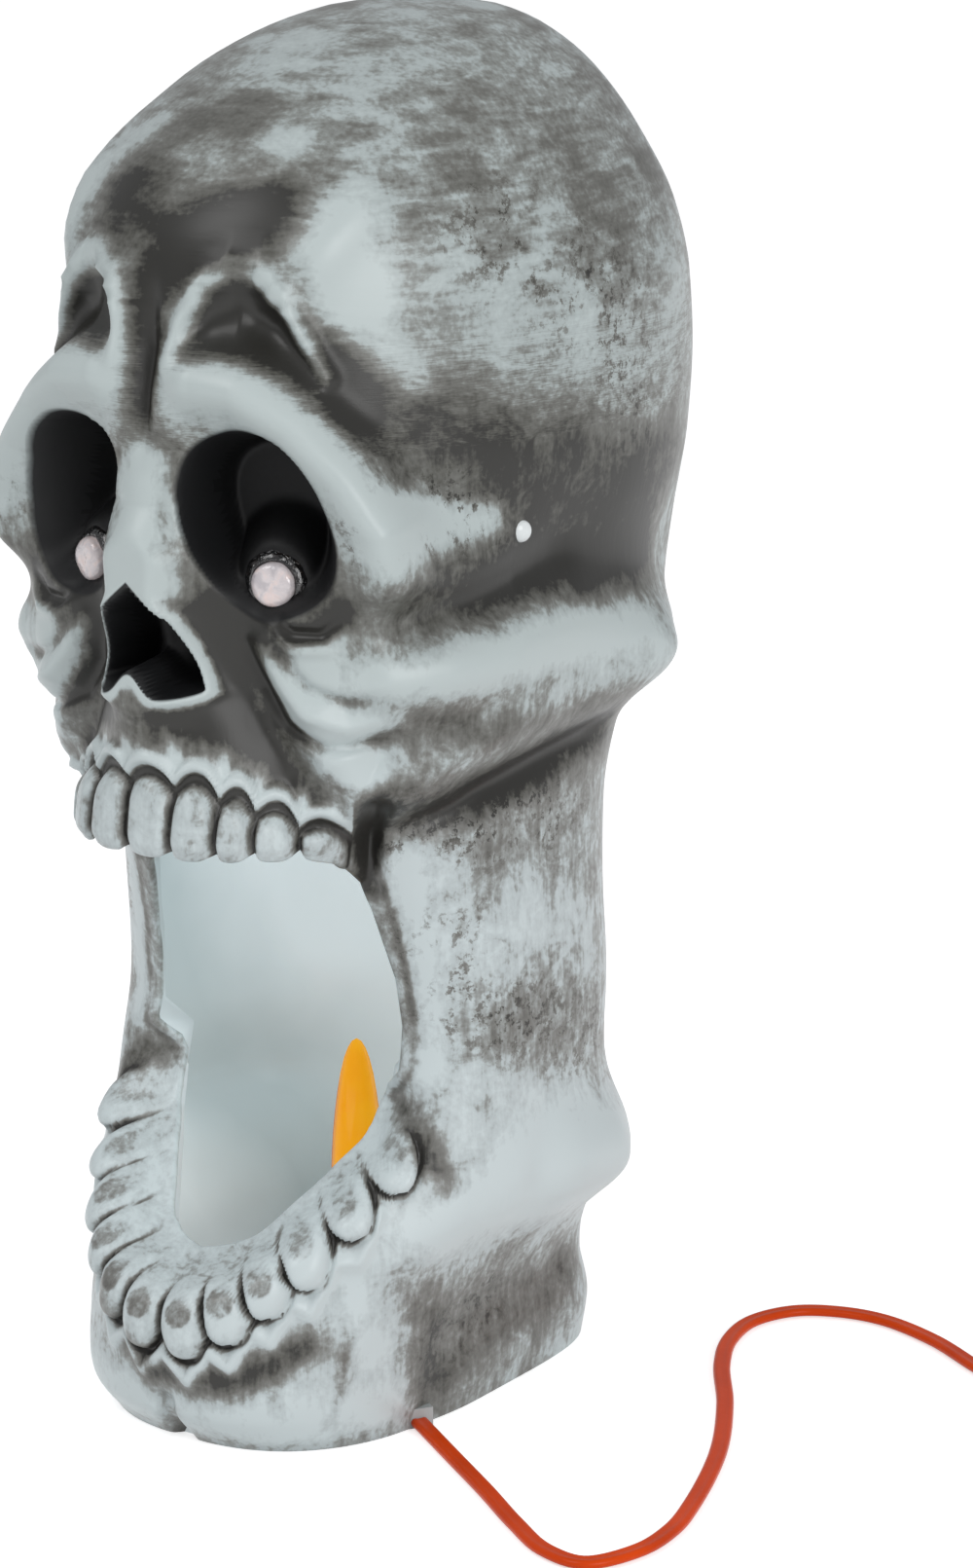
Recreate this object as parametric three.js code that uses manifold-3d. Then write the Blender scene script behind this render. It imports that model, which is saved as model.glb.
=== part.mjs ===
// Skull lamp: a blow-moulded skull with a gaping mouth, two eye lamps and a small flame lens.
// Millimetres, +Z up, the face looks along -Y, +X is the skull's left side.
// The origin is the middle of the foot print, on the surface that the lamp stands on.

import * as THREE from 'three';
import { ParametricGeometry } from 'three/addons/geometries/ParametricGeometry.js';
import { mergeVertices } from 'three/addons/utils/BufferGeometryUtils.js';
import Module from 'manifold-3d';

const wasm = await Module();
wasm.setup();

// Driving dimensions of the skull
const skull = {
  height: 370,
  halfWidth: 73,
  halfDepth: 105,
  wall: 2.6,
  blend: 4,
};

// Relief of the face: how far each feature stands out or in, and how wide it is
const face = {
  browRelief: 14,
  browWidth: 10,
  browTop: 4,
  browTopWidth: 6,
  archRelief: 4.5,
  archWidth: 4,
  archHollow: 6,
  archHollowWidth: 6,
  templeRidge: 3,
  templeRidgeWidth: 7,
  templeUpper: 4.5,
  templeUpperWidth: 13,
  templeLower: 5,
  templeLowerWidth: 7,
  cheekRelief: 11,
  cheekWidth: 11,
  zygomaRelief: 8,
  zygomaWidth: 12,
  underCheek: 5,
  underCheekWidth: 6,
  cheekGroove: 3,
  cheekGrooveWidth: 4,
  noseRelief: 14,
  noseWidth: 12,
  noseSide: 4,
  noseSideWidth: 8,
  neckGroove: 4.5,
  neckGrooveWidth: 4.5,
  jawAngle: 13,
  jawAngleWidth: 17,
  jawBorder: 3,
  jawBorderWidth: 10,
  skirtHollow: 3,
  skirtWidth: 11,
  chinCleft: 4,
  chinCleftWidth: 4,
};

const socket = {
  angle: 18.6,
  z: 0.665 * skull.height,
  long: 26.5,
  short: 18.5,
  lean: 22,
  depth: 21,
  slope: 8,
  sides: 22,
};

const nose = {
  top: 0.63 * skull.height,
  bottom: 0.549 * skull.height,
  halfWidth: 16.5,
  depth: 4,
  slope: 9,
};

const teeth = {
  depth: 7.5,
  sink: 3,
  fullness: 1.06,
  upperBottom: 0.438 * skull.height,
  upperTop: 0.505 * skull.height,
  upperDrop: 11,
  lowerRise: 3,
  lowerHeight: 21,
  sides: 8,
  rings: 4,
  rollIn: 12,
  rollWidth: 6,
};

const eye = {
  angle: 18.6,
  z: 0.627 * skull.height,
  headRadius: 5.6,
  headLength: 6,
  shankRadius: 4.2,
  shankLength: 7,
  glueRadius: 8.6,
  glueLength: 2.6,
  holderRadius: 6.4,
  holderLength: 11,
  seatSink: 0.5,
};

const pin = {
  angle: 64,
  z: 0.651 * skull.height,
  headRadius: 2.9,
  headLength: 2,
  shankRadius: 1.6,
  shankLength: 6,
  seatSink: 0.6,
};

const base = {
  plate: 4,
  flange: 2.6,
  flangeWidth: 11,
  screwInset: 8.4,
  screwAngles: [38, 142, 218, 322],
};

const screw = {
  shankRadius: 1.5,
  headRadius: 3.2,
  headLength: 2,
  length: 9,
  socketRadius: 1.1,
  socketDepth: 1.2,
};

const flame = {
  y: -0.095 * skull.halfDepth,
  footRadius: 14,
  footLength: 2.5,
  postRadius: 8.4,
  postLength: 24,
  spigotRadius: 5.6,
  spigotLength: 6,
  lensRadius: 7.4,
  lensLength: 59,
  lensWall: 1.1,
  lampRadius: 2.6,
  lampLength: 22,
  lampShank: 4,
};

const block = {
  x: 0,
  y: 0.229 * skull.halfDepth,
  length: 30,
  width: 15,
  height: 11,
  screwRadius: 1.8,
  screwLength: 2.4,
};

const cord = {
  width: 4.8,
  thickness: 2.4,
  leadSteps: 54,
  tailSteps: 6,
  innerSteps: 14,
};

const lead = {
  radius: 1.2,
  steps: 30,
  sides: 6,
};

const coil = {
  x: 189.3,
  y: 91.3,
  innerRadius: 19.3,
  pitch: 5.3,
  layerPitch: 3.1,
  startAngle: 241.4,
  loopsIn: 3.6,
  loopsOut: 3.73,
  climb: 0.5,
  stepsPerLoop: 24,
};

const tie = {
  width: 4,
  thickness: 0.8,
  angle: 100,
};

const grommet = {
  width: 8,
  length: 20,
  height: 5.4,
  collarWidth: 11,
  collarLength: 2.4,
  collarHeight: 6,
  direction: 56.4,
};

const plug = {
  width: 26,
  length: 36,
  height: 16,
  radius: 3,
  noseLength: 8,
  noseWidth: 9,
  bladeGap: 12.7,
  bladeLength: 17,
  bladeThickness: 1.5,
  bladeWide: 7.9,
  bladeNarrow: 6.3,
  bladeRoot: 5,
  doorWidth: 13,
  doorLength: 19,
  doorThickness: 1.8,
  pocketWidth: 9.4,
  pocketLength: 12,
  pocketDepth: 6,
  fuseRadius: 1.8,
  fuseLength: 10.4,
};

const clearance = 0.3;
const holeClearance = 0.4;
const overrun = 5;
const mergeWithin = 1e-4;
const mouthSteps = 44;

// Cross-sections from the foot to the crown. Shares of the skull's height, half width and
// half depth, then how square the front and the back of the section are.
// [height, half width, middle, front, back, front squareness, back squareness]
const sectionShares = [
  [0, 0.67, -0.19, 0.64, 0.63, 2.5, 5],
  [0.03, 0.7, -0.19, 0.72, 0.63, 2.5, 5],
  [0.075, 0.72, -0.19, 0.735, 0.61, 2.2, 4],
  [0.12, 0.745, -0.19, 0.715, 0.63, 2.05, 3.4],
  [0.16, 0.82, -0.17, 0.63, 0.65, 2.2, 3],
  [0.225, 0.85, -0.143, 0.44, 0.63, 2.8, 2.8],
  [0.285, 0.863, -0.095, 0.36, 0.58, 3.6, 2.8],
  [0.37, 0.85, -0.076, 0.44, 0.57, 3.2, 2.6],
  [0.43, 0.836, -0.038, 0.59, 0.57, 2.8, 2.4],
  [0.48, 0.85, 0, 0.705, 0.62, 2.8, 2.2],
  [0.53, 0.92, 0.028, 0.82, 0.73, 3.2, 2.1],
  [0.58, 0.96, 0.048, 0.886, 0.81, 3.4, 2],
  [0.635, 0.973, 0.048, 0.905, 0.87, 3.2, 2],
  [0.69, 0.993, 0.048, 0.924, 0.93, 2.6, 2],
  [0.745, 1, 0.048, 0.938, 0.952, 2.1, 2],
  [0.8, 0.993, 0.048, 0.933, 0.933, 2, 2],
  [0.85, 0.94, 0.057, 0.905, 0.876, 2.1, 2],
  [0.905, 0.815, 0.086, 0.8, 0.72, 2.2, 2],
  [0.945, 0.66, 0.124, 0.65, 0.57, 2.2, 2],
  [0.973, 0.5, 0.155, 0.475, 0.41, 2.1, 2],
  [0.992, 0.29, 0.18, 0.26, 0.23, 2, 2],
  [1, 0, 0.19, 0, 0, 2, 2],
];

// The tooth arch of the upper jaw stands out of the face: [height, half width, front]
const archShares = [
  [0.4, 0.575, 0.93],
  [0.446, 0.6, 0.945],
  [0.48, 0.615, 0.945],
  [0.52, 0.6, 0.94],
  [0.56, 0.55, 0.92],
  [0.6, 0.41, 0.86],
];
const archSquareness = 2.5;
const archFadeShares = [0.025, 0.05];

// Edge of the mouth on the right half of the view: [degrees from the front, height share]
const mouthTopShares = [[0, 0.442], [15, 0.44], [25, 0.436], [32, 0.427], [37, 0.405]];
const mouthSideShares = [[42, 0.372], [47.5, 0.332], [50, 0.297], [50, 0.262], [49.5, 0.242]];
const mouthFootShares = [[45, 0.218], [35, 0.195], [24, 0.171], [12, 0.145], [0, 0.136]];

// Lines on the skull, mirrored on the other side: [degrees, height share, relief share]
const browShares = [
  [5, 0.752, 0.3], [9, 0.765, 0.6], [16, 0.762, 0.8], [24, 0.74, 0.9],
  [31, 0.708, 1], [36, 0.672, 1.1], [37, 0.64, 0.8],
];
const browTopShares = [[8, 0.79, 0.4], [16, 0.795, 1], [24, 0.772, 1], [32, 0.735, 0.8], [38, 0.71, 0.6]];
const archLineShares = [
  [5, 0.785, 0.4], [6, 0.803, 1], [9, 0.824, 1], [13, 0.838, 1],
  [18, 0.82, 1], [23, 0.79, 0.9], [27, 0.768, 0.4],
];
const archHollowShares = [[9.5, 0.802, 0.6], [13, 0.814, 1], [17, 0.8, 0.8]];
const templeRidgeShares = [[20, 0.822, 0.5], [26, 0.85, 1], [32, 0.884, 1], [36, 0.915, 0.3]];
const templeUpperShares = [
  [42, 0.695, 0.8], [52, 0.675, 1], [64, 0.655, 1], [78, 0.64, 0.9], [96, 0.622, 0.8], [122, 0.608, 0.6],
];
const templeLowerShares = [[40, 0.605, 0.8], [50, 0.607, 1], [62, 0.615, 1], [74, 0.625, 0.5]];
const cheekShares = [
  [20, 0.562, 0.2], [24, 0.532, 0.5], [29, 0.5, 0.9], [34, 0.48, 1.05], [42, 0.488, 0.95],
  [52, 0.504, 0.8], [64, 0.518, 0.6], [80, 0.523, 0.4], [95, 0.525, 0.4], [112, 0.53, 0.5],
];
const zygomaShares = [
  [30, 0.558, 0.4], [38, 0.56, 0.9], [47, 0.565, 1], [60, 0.57, 0.9], [76, 0.57, 0.6],
  [92, 0.562, 0.5], [110, 0.55, 0.8], [124, 0.545, 0.7],
];
const underCheekShares = [
  [37, 0.44, 0.6], [46, 0.452, 1], [60, 0.468, 1], [80, 0.48, 0.8], [102, 0.49, 0.6],
];
const cheekGrooveShares = [
  [18, 0.57, 0.4], [23, 0.535, 0.8], [29, 0.52, 1], [36, 0.525, 0.5], [42, 0.54, 0],
];
const noseShares = [
  [0, 0.725, 0.15], [0, 0.68, 0.5], [0, 0.64, 1], [0, 0.6, 0.95], [0, 0.56, 0.8], [0, 0.53, 0.4],
];
const noseSideShares = [[14, 0.6, 0.6], [16, 0.56, 1], [18, 0.53, 1], [22, 0.5, 0.7]];
const neckGrooveShares = [[37, 0.465, 1], [37, 0.443, 1], [38.5, 0.405, 0.8]];
const jawAngleShares = [[88, 0.185, 0.4], [102, 0.172, 0.9], [118, 0.165, 1], [132, 0.165, 0.7]];
const jawBorderShares = [
  [28, 0.055, 0.3], [40, 0.085, 0.7], [54, 0.135, 1], [66, 0.165, 1], [82, 0.165, 0.6],
];
const skirtShares = [[64, 0.03, 0.8], [78, 0.07, 1], [98, 0.08, 1], [122, 0.075, 1]];
const chinCleftShares = [[0, 0, 1], [0.5, 0.035, 0.6]];

// Teeth from the middle outwards, in degrees, and the line that the lower ones end on
const upperToothEdges = [0, 7, 14, 21, 29, 38];
const lowerToothEdges = [0, 8, 16, 24, 32.5, 42, 55];
const lowerTopShares = [
  [0, 0.121], [10, 0.121], [17, 0.139], [24, 0.159], [31, 0.183], [40, 0.21], [55, 0.235],
];

// Nose hole, a heart on its two lobes: [half width share, height share]
const noseHoleShares = [
  [0, 1], [0.22, 0.9], [0.6, 0.55], [0.94, 0.22], [1, 0.08], [0.86, 0], [0.52, 0], [0.22, 0.1], [0, 0.2],
];
// Cup of an eye socket from its floor outwards: [radius share, depth share]
const socketCupShares = [[0, 0], [0.76, 0], [0.9, 0.25], [1, 1], [1.15, 2], [0, 2]];

// Rows of the outer surface: [height share, rows up to the next one]
const rowShares = [
  [0, 2], [0.03, 7], [0.24, 3], [0.4, 5], [0.5, 16], [0.8, 5], [0.93, 3], [0.98, 1], [1, 0],
];
// And its columns: [degrees from the front, columns up to the next one]
const columnDegrees = [[0, 12], [39, 4], [60, 3], [90, 5], [180, 0]];
// The hollow is smoother, with fewer rows and columns
const hollowRowShares = [
  [0, 1], [0.03, 1], [0.08, 5], [0.24, 3], [0.42, 3], [0.55, 7], [0.8, 3], [0.93, 2], [1, 0],
];
const hollowDegrees = [[0, 9], [60, 3], [100, 4], [180, 0]];

// The cord on the surface, from the foot of the skull to its coil
const cordRoute = [
  [47.7, -47.15], [51.9, -49.95], [69, -61.3], [88.3, -74.1], [106, -86.4], [120.4, -94.8], [132.4, -95.5],
  [139.4, -82], [139.6, -67], [135.8, -51.8], [123.4, -19], [107.5, 10], [92.2, 33], [84.2, 50],
  [82, 66], [88, 79.5], [99, 86], [112, 87.6], [131.1, 82.2], [148.7, 72.6], [160, 66.4],
].map(([x, y]) => new THREE.Vector3(x, y, 0));
// And from the coil to the plug
const tailRoute = [[228.6, 110], [228.8, 119], [229, 127], [229, 132]];

const degree = Math.PI / 180;

// A smooth curve through rows, which never overshoots them
function through(rows, column, at) {
  const last = rows.length - 1;
  const x = Math.min(Math.max(at, rows[0][0]), rows[last][0]);
  let i = 0;
  while (i < last - 1 && x > rows[i + 1][0]) i += 1;
  const slope = (k) => (rows[k + 1][column] - rows[k][column]) / (rows[k + 1][0] - rows[k][0]);
  const tangent = (k) => {
    if (k === 0) return slope(0);
    if (k === last) return slope(last - 1);
    const [before, after] = [slope(k - 1), slope(k)];
    return before * after > 0 ? (2 * before * after) / (before + after) : 0;
  };
  const step = rows[i + 1][0] - rows[i][0];
  const t = (x - rows[i][0]) / step;
  const start = rows[i][column] * (1 + 2 * t) * (1 - t) ** 2 + tangent(i) * step * t * (1 - t) ** 2;
  const end = rows[i + 1][column] * t * t * (3 - 2 * t) + tangent(i + 1) * step * t * t * (t - 1);
  return start + end;
}

function smoothstep(low, high, x) {
  const t = Math.min(Math.max((x - low) / (high - low), 0), 1);
  return t * t * (3 - 2 * t);
}

// The larger of two radii, blended where they meet
function blendedMax(a, b) {
  const t = Math.min(Math.max(0.5 + (a - b) / (2 * skull.blend), 0), 1);
  return b + (a - b) * t + skull.blend * t * (1 - t);
}

function oval(sideShare, frontShare, halfWidth, reach, squareness) {
  const side = Math.abs(sideShare / halfWidth) ** squareness;
  const front = Math.abs(frontShare / reach) ** squareness;
  return (side + front) ** (-1 / squareness);
}

function middle(z) {
  return through(sectionShares, 2, z / skull.height) * skull.halfDepth;
}

// Radius of the plain skull about its middle, without the relief
function plainRadius(angle, z) {
  const share = z / skull.height;
  const least = skull.wall / skull.halfDepth ** 2;
  const halfWidth = Math.max(through(sectionShares, 1, share), least) * skull.halfWidth;
  const isFront = Math.cos(angle) > 0;
  const reach = Math.max(through(sectionShares, isFront ? 3 : 4, share), least) * skull.halfDepth;
  const squareness = through(sectionShares, isFront ? 5 : 6, share);
  const radius = oval(Math.sin(angle), Math.cos(angle), halfWidth, reach, squareness);
  const [low, high] = [archShares[0][0], archShares[archShares.length - 1][0]];
  if (!isFront || share < low || share > high) return radius;
  const archWidth = through(archShares, 1, share) * skull.halfWidth;
  const archReach = through(archShares, 2, share) * skull.halfDepth;
  const arch = oval(Math.sin(angle), Math.cos(angle), archWidth, archReach, archSquareness);
  const [fadeIn, fadeOut] = archFadeShares;
  const fade = smoothstep(low, low + fadeIn, share) * (1 - smoothstep(high - fadeOut, high, share));
  return radius + (blendedMax(radius, arch) - radius) * fade;
}

function onPlain(angle, z, out = 0) {
  const radius = plainRadius(angle, z) + out;
  return new THREE.Vector3(radius * Math.sin(angle), middle(z) - radius * Math.cos(angle), z);
}

// A line on the plain skull, with its relief at each point
function line(rows) {
  return rows.map(([degrees, share, relief]) => ({
    point: onPlain(degrees * degree, share * skull.height),
    relief,
  }));
}

// Height of a rounded ridge along a line, at a point of the plain skull
function ridge(points, width, at) {
  const near = new THREE.Vector3();
  let best = 0;
  for (let i = 0; i + 1 < points.length; i += 1) {
    const segment = new THREE.Line3(points[i].point, points[i + 1].point);
    const t = segment.closestPointToPointParameter(at, true);
    segment.at(t, near);
    const relief = points[i].relief + (points[i + 1].relief - points[i].relief) * t;
    best = Math.max(best, relief * Math.exp(-((near.distanceTo(at) / width) ** 2)));
  }
  return best;
}

const features = [
  [line(browShares), face.browWidth, face.browRelief],
  [line(browTopShares), face.browTopWidth, -face.browTop],
  [line(archLineShares), face.archWidth, face.archRelief],
  [line(archHollowShares), face.archHollowWidth, -face.archHollow],
  [line(templeRidgeShares), face.templeRidgeWidth, face.templeRidge],
  [line(templeUpperShares), face.templeUpperWidth, -face.templeUpper],
  [line(templeLowerShares), face.templeLowerWidth, -face.templeLower],
  [line(cheekShares), face.cheekWidth, face.cheekRelief],
  [line(zygomaShares), face.zygomaWidth, face.zygomaRelief],
  [line(underCheekShares), face.underCheekWidth, -face.underCheek],
  [line(cheekGrooveShares), face.cheekGrooveWidth, -face.cheekGroove],
  [line(noseShares), face.noseWidth, face.noseRelief],
  [line(noseSideShares), face.noseSideWidth, -face.noseSide],
  [line(neckGrooveShares), face.neckGrooveWidth, -face.neckGroove],
  [line(jawAngleShares), face.jawAngleWidth, face.jawAngle],
  [line(jawBorderShares), face.jawBorderWidth, face.jawBorder],
  [line(skirtShares), face.skirtWidth, -face.skirtHollow],
  [line(chinCleftShares), face.chinCleftWidth, -face.chinCleft],
];

// How far inside the rim of an eye socket a point lies, negative outside it
function insideSocket(at) {
  const turn = socket.lean * degree;
  const centre = onPlain(socket.angle * degree, socket.z);
  const [dx, dz] = [at.x - centre.x, at.z - centre.z];
  const along = Math.cos(turn) * dz - Math.sin(turn) * dx;
  const across = Math.cos(turn) * dx + Math.sin(turn) * dz;
  return (1 - Math.hypot(along / socket.long, across / socket.short)) * socket.short;
}

// The same for the nose hole
function insideNose(at) {
  const rise = Math.min(Math.max((nose.top - at.z) / (nose.top - nose.bottom), 0), 1);
  return Math.min(nose.halfWidth * rise - at.x, at.z - nose.bottom);
}

const mouthFoot = line(mouthFootShares.map(([degrees, share]) => [degrees, share, 1]));

// Inward roll of the lower jaw towards the edge of the mouth
function jawRoll(at, extraWidth = 0) {
  return teeth.rollIn * ridge(mouthFoot, teeth.rollWidth + extraWidth, at);
}

// Relief of the outer surface over the plain skull
function relief(angle, z) {
  const at = onPlain(angle, z);
  at.x = Math.abs(at.x);
  let total = -jawRoll(at);
  for (const [points, width, height] of features) total += height * ridge(points, width, at);
  return total;
}

// The hollow follows the plain skull a wall's thickness in, and stays behind every recess
function hollowRelief(angle, z) {
  const at = onPlain(angle, z);
  at.x = Math.abs(at.x);
  let total = -jawRoll(at, 2 * skull.wall);
  for (const [points, width, height] of features) {
    if (height < 0) total += height * ridge(points, width + 2 * skull.wall, at);
  }
  if (Math.cos(angle) > 0) {
    const intoSocket = smoothstep(-socket.slope, 0, insideSocket(at));
    const intoNose = smoothstep(-nose.slope, 0, insideNose(at));
    const recess = Math.max((socket.depth + skull.wall) * intoSocket, (nose.depth + skull.wall) * intoNose);
    total = Math.min(total, -recess);
  }
  return total - skull.wall;
}

// Rows and columns of a surface, closer where the face is
function spread(table, unit) {
  const values = [];
  for (let i = 0; i + 1 < table.length; i += 1) {
    const [from, count] = table[i];
    for (let k = 0; k < count; k += 1) values.push((from + ((table[i + 1][0] - from) * k) / count) * unit);
  }
  values.push(table[table.length - 1][0] * unit);
  return values;
}

// Columns right round the skull, from those of one half
function allRound(half) {
  return [...half, ...half.slice(1, -1).reverse().map((angle) => -angle), half[0]];
}

const columns = allRound(spread(columnDegrees, degree));
const hollowColumns = allRound(spread(hollowDegrees, degree));

// A closed body between a lowest and a highest row, from a point for each angle and height
function closedSurface(heights, around, place) {
  const rows = heights.length + 1;
  const sheet = (u, v, target) => {
    const row = Math.round(v * rows);
    const z = heights[Math.min(Math.max(row, 1), rows - 1) - 1];
    target.copy(place(around[Math.round(u * (around.length - 1))], z));
    if (row === 0 || row === rows) target.set(0, middle(z), target.z);
  };
  return new ParametricGeometry(sheet, around.length - 1, rows);
}

function outerBody() {
  const heights = spread(rowShares, skull.height);
  heights[heights.length - 1] -= skull.wall / skull.height;
  return solid(closedSurface(heights, columns, (angle, z) => onPlain(angle, z, relief(angle, z))));
}

function hollowBody() {
  const shrink = (skull.height - skull.wall) / skull.height;
  const floor = base.plate + clearance + base.flange;
  const heights = spread(hollowRowShares, skull.height).filter((z) => z * shrink > floor);
  heights[heights.length - 1] -= skull.wall;
  heights.unshift(floor / shrink);
  return solid(closedSurface(heights, hollowColumns, (angle, z) => {
    const out = Math.max(hollowRelief(angle, z), skull.wall - plainRadius(angle, z));
    const point = onPlain(angle, z, out);
    point.z = z * shrink;
    return point;
  }));
}

// Closed body of a geometry, for joining and cutting
function solid(geometry, matrix = new THREE.Matrix4()) {
  const bare = geometry.index ? geometry.toNonIndexed() : geometry.clone();
  for (const name of Object.keys(bare.attributes)) {
    if (name !== 'position') bare.deleteAttribute(name);
  }
  bare.applyMatrix4(matrix);
  const merged = mergeVertices(bare, mergeWithin);
  const index = merged.index.array;
  const kept = [];
  for (let i = 0; i < index.length; i += 3) {
    const [a, b, c] = [index[i], index[i + 1], index[i + 2]];
    if (a !== b && b !== c && c !== a) kept.push(a, b, c);
  }
  const mesh = new wasm.Mesh({
    numProp: 3,
    vertProperties: new Float32Array(merged.attributes.position.array),
    triVerts: new Uint32Array(kept),
  });
  mesh.merge();
  const body = new wasm.Manifold(mesh);
  if (body.volume() > 0) return body;
  for (let i = 0; i < kept.length; i += 3) [kept[i], kept[i + 1]] = [kept[i + 1], kept[i]];
  mesh.triVerts = new Uint32Array(kept);
  return new wasm.Manifold(mesh);
}

function geometryOf(body) {
  const mesh = body.getMesh();
  const geometry = new THREE.BufferGeometry();
  const positions = new Float32Array(mesh.numVert * 3);
  for (let i = 0; i < mesh.numVert; i += 1) {
    for (let k = 0; k < 3; k += 1) positions[3 * i + k] = mesh.vertProperties[mesh.numProp * i + k];
  }
  geometry.setAttribute('position', new THREE.BufferAttribute(positions, 3));
  geometry.setIndex(new THREE.BufferAttribute(new Uint32Array(mesh.triVerts), 1));
  geometry.computeVertexNormals();
  return geometry;
}

function material(color, roughness, extra = {}) {
  return new THREE.MeshStandardMaterial({ color, roughness, metalness: 0, ...extra });
}

const materials = {
  bone: material('#c9cdcb', 0.4),
  base: material('#2b2c2c', 0.6),
  steel: material('#b8bbbd', 0.35, { metalness: 1 }),
  lamp: material('#e9e4e0', 0.25, { transparent: true, opacity: 0.8 }),
  glue: material('#0b0b0c', 0.15),
  holder: material('#1d1e20', 0.55),
  flame: material('#f0a020', 0.25, { transparent: true, opacity: 0.85 }),
  wire: material('#2f6b35', 0.5),
  cord: material('#d7501e', 0.45),
  plug: material('#d7501e', 0.4),
  brass: material('#c9a24b', 0.3, { metalness: 1 }),
  glass: material('#dfe8e6', 0.1, { transparent: true, opacity: 0.4 }),
  tie: material('#1a1a1a', 0.6),
};

const lamp = new THREE.Group();

function add(name, shape, look) {
  const geometry = shape.isBufferGeometry ? shape : geometryOf(shape);
  const mesh = new THREE.Mesh(geometry, look);
  mesh.name = name;
  lamp.add(mesh);
  return mesh;
}

// A turned body about +Z from [radius, height] pairs, which starts and ends on the axis
function turned(profile, sides) {
  const points = profile.map(([radius, height]) => new THREE.Vector2(radius, height));
  const geometry = new THREE.LatheGeometry(points, sides);
  return geometry.rotateX(Math.PI / 2);
}

function cylinder(radius, length, sides) {
  return turned([[0, 0], [radius, 0], [radius, length], [0, length]], sides);
}

function boxAt(width, length, height, matrix) {
  const geometry = new THREE.BoxGeometry(width, length, height);
  geometry.translate(0, 0, height / 2);
  return solid(geometry, matrix);
}

// A frame whose +Z leaves the skull level at an angle and whose +Y points up
function outwards(angle, z, radius) {
  const across = new THREE.Vector3(Math.cos(angle), Math.sin(angle), 0);
  const up = new THREE.Vector3(0, 0, 1);
  const away = new THREE.Vector3(Math.sin(angle), -Math.cos(angle), 0);
  const place = away.clone().multiplyScalar(radius).add(new THREE.Vector3(0, middle(z), z));
  return new THREE.Matrix4().makeBasis(across, up, away).setPosition(place);
}

// Outline of the foot, a set distance in from the rim
function footShape(inset) {
  const points = [];
  for (const angle of columns.slice(0, -1)) {
    const point = onPlain(angle, 0, relief(angle, 0) - inset);
    points.push(new THREE.Vector2(point.x, point.y));
  }
  return new THREE.Shape(points);
}

function slab(shape, bottom, top) {
  const geometry = new THREE.ExtrudeGeometry(shape, { depth: top - bottom, bevelEnabled: false });
  geometry.translate(0, 0, bottom);
  return solid(geometry);
}

function mouthCutter() {
  const half = [...mouthTopShares, ...mouthSideShares, ...mouthFootShares];
  const right = half.map(([degrees, share]) => {
    const point = onPlain(degrees * degree, share * skull.height);
    return new THREE.Vector2(point.x, point.z);
  });
  const left = right.slice(1, -1).reverse().map((point) => new THREE.Vector2(-point.x, point.y));
  const outline = new THREE.SplineCurve([...right, ...left, right[0]]).getPoints(mouthSteps).slice(0, -1);
  const depth = skull.halfDepth + overrun;
  const geometry = new THREE.ExtrudeGeometry(new THREE.Shape(outline), { depth, bevelEnabled: false });
  geometry.rotateX(Math.PI / 2);
  return solid(geometry);
}

const sides = [['left', 1], ['right', -1]];

function socketFloor() {
  return plainRadius(socket.angle * degree, socket.z) - socket.depth;
}

function socketCutter(side) {
  const matrix = outwards(side * socket.angle * degree, socket.z, socketFloor())
    .multiply(new THREE.Matrix4().makeRotationZ(side * socket.lean * degree))
    .multiply(new THREE.Matrix4().makeScale(socket.short, socket.long, socket.depth));
  return solid(turned(socketCupShares, socket.sides), matrix);
}

function noseCutter() {
  const rise = nose.top - nose.bottom;
  const right = noseHoleShares.map(([across, up]) => (
    new THREE.Vector2(across * nose.halfWidth, nose.bottom + up * rise)));
  const left = right.slice(1, -1).reverse().map((point) => new THREE.Vector2(-point.x, point.y));
  const depth = skull.halfDepth;
  const outline = new THREE.Shape([...right, ...left]);
  const geometry = new THREE.ExtrudeGeometry(outline, { depth, bevelEnabled: false });
  geometry.rotateX(Math.PI / 2);
  geometry.translate(0, onPlain(0, nose.bottom + rise / 2).y + nose.depth, 0);
  return solid(geometry);
}

// One tooth: a rounded lump between two angles and two heights
function tooth(side, from, to, bottom, top) {
  const angle = (side * (from + to) * degree) / 2;
  const z = (bottom + top) / 2;
  const radius = plainRadius(angle, z);
  const halfWidth = radius * Math.sin(((to - from) * degree) / 2) * teeth.fullness;
  const matrix = outwards(angle, z, radius - teeth.sink)
    .multiply(new THREE.Matrix4().makeScale(halfWidth, (top - bottom) / 2, teeth.depth));
  return solid(new THREE.SphereGeometry(1, teeth.sides, teeth.rings), matrix);
}

function eachTooth(edges, range) {
  const row = [];
  for (let i = 0; i + 1 < edges.length; i += 1) {
    const [bottom, top] = range((edges[i] + edges[i + 1]) / 2);
    for (const [, side] of sides) row.push(tooth(side, edges[i], edges[i + 1], bottom, top));
  }
  return row;
}

function upperRange(degrees) {
  return [teeth.upperBottom, teeth.upperTop - teeth.upperDrop * (degrees / upperToothEdges[5]) ** 2];
}

function lowerRange(degrees) {
  const top = through(lowerTopShares, 1, degrees) * skull.height + teeth.lowerRise;
  return [top - teeth.lowerHeight, top];
}

// Sinks a flat round seat into the surface and drills through it
function seatAndHole(part, seatRadius, seat, holeRadius, wide) {
  const pocket = solid(cylinder(seatRadius, wide, 16), part.clone().multiply(
    new THREE.Matrix4().makeTranslation(0, 0, seat)));
  const hole = solid(cylinder(holeRadius, 4 * wide, 16), part.clone().multiply(
    new THREE.Matrix4().makeTranslation(0, 0, seat - 2 * wide)));
  return pocket.add(hole);
}

function eyeSeat() {
  return socketFloor() - eye.seatSink;
}

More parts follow.
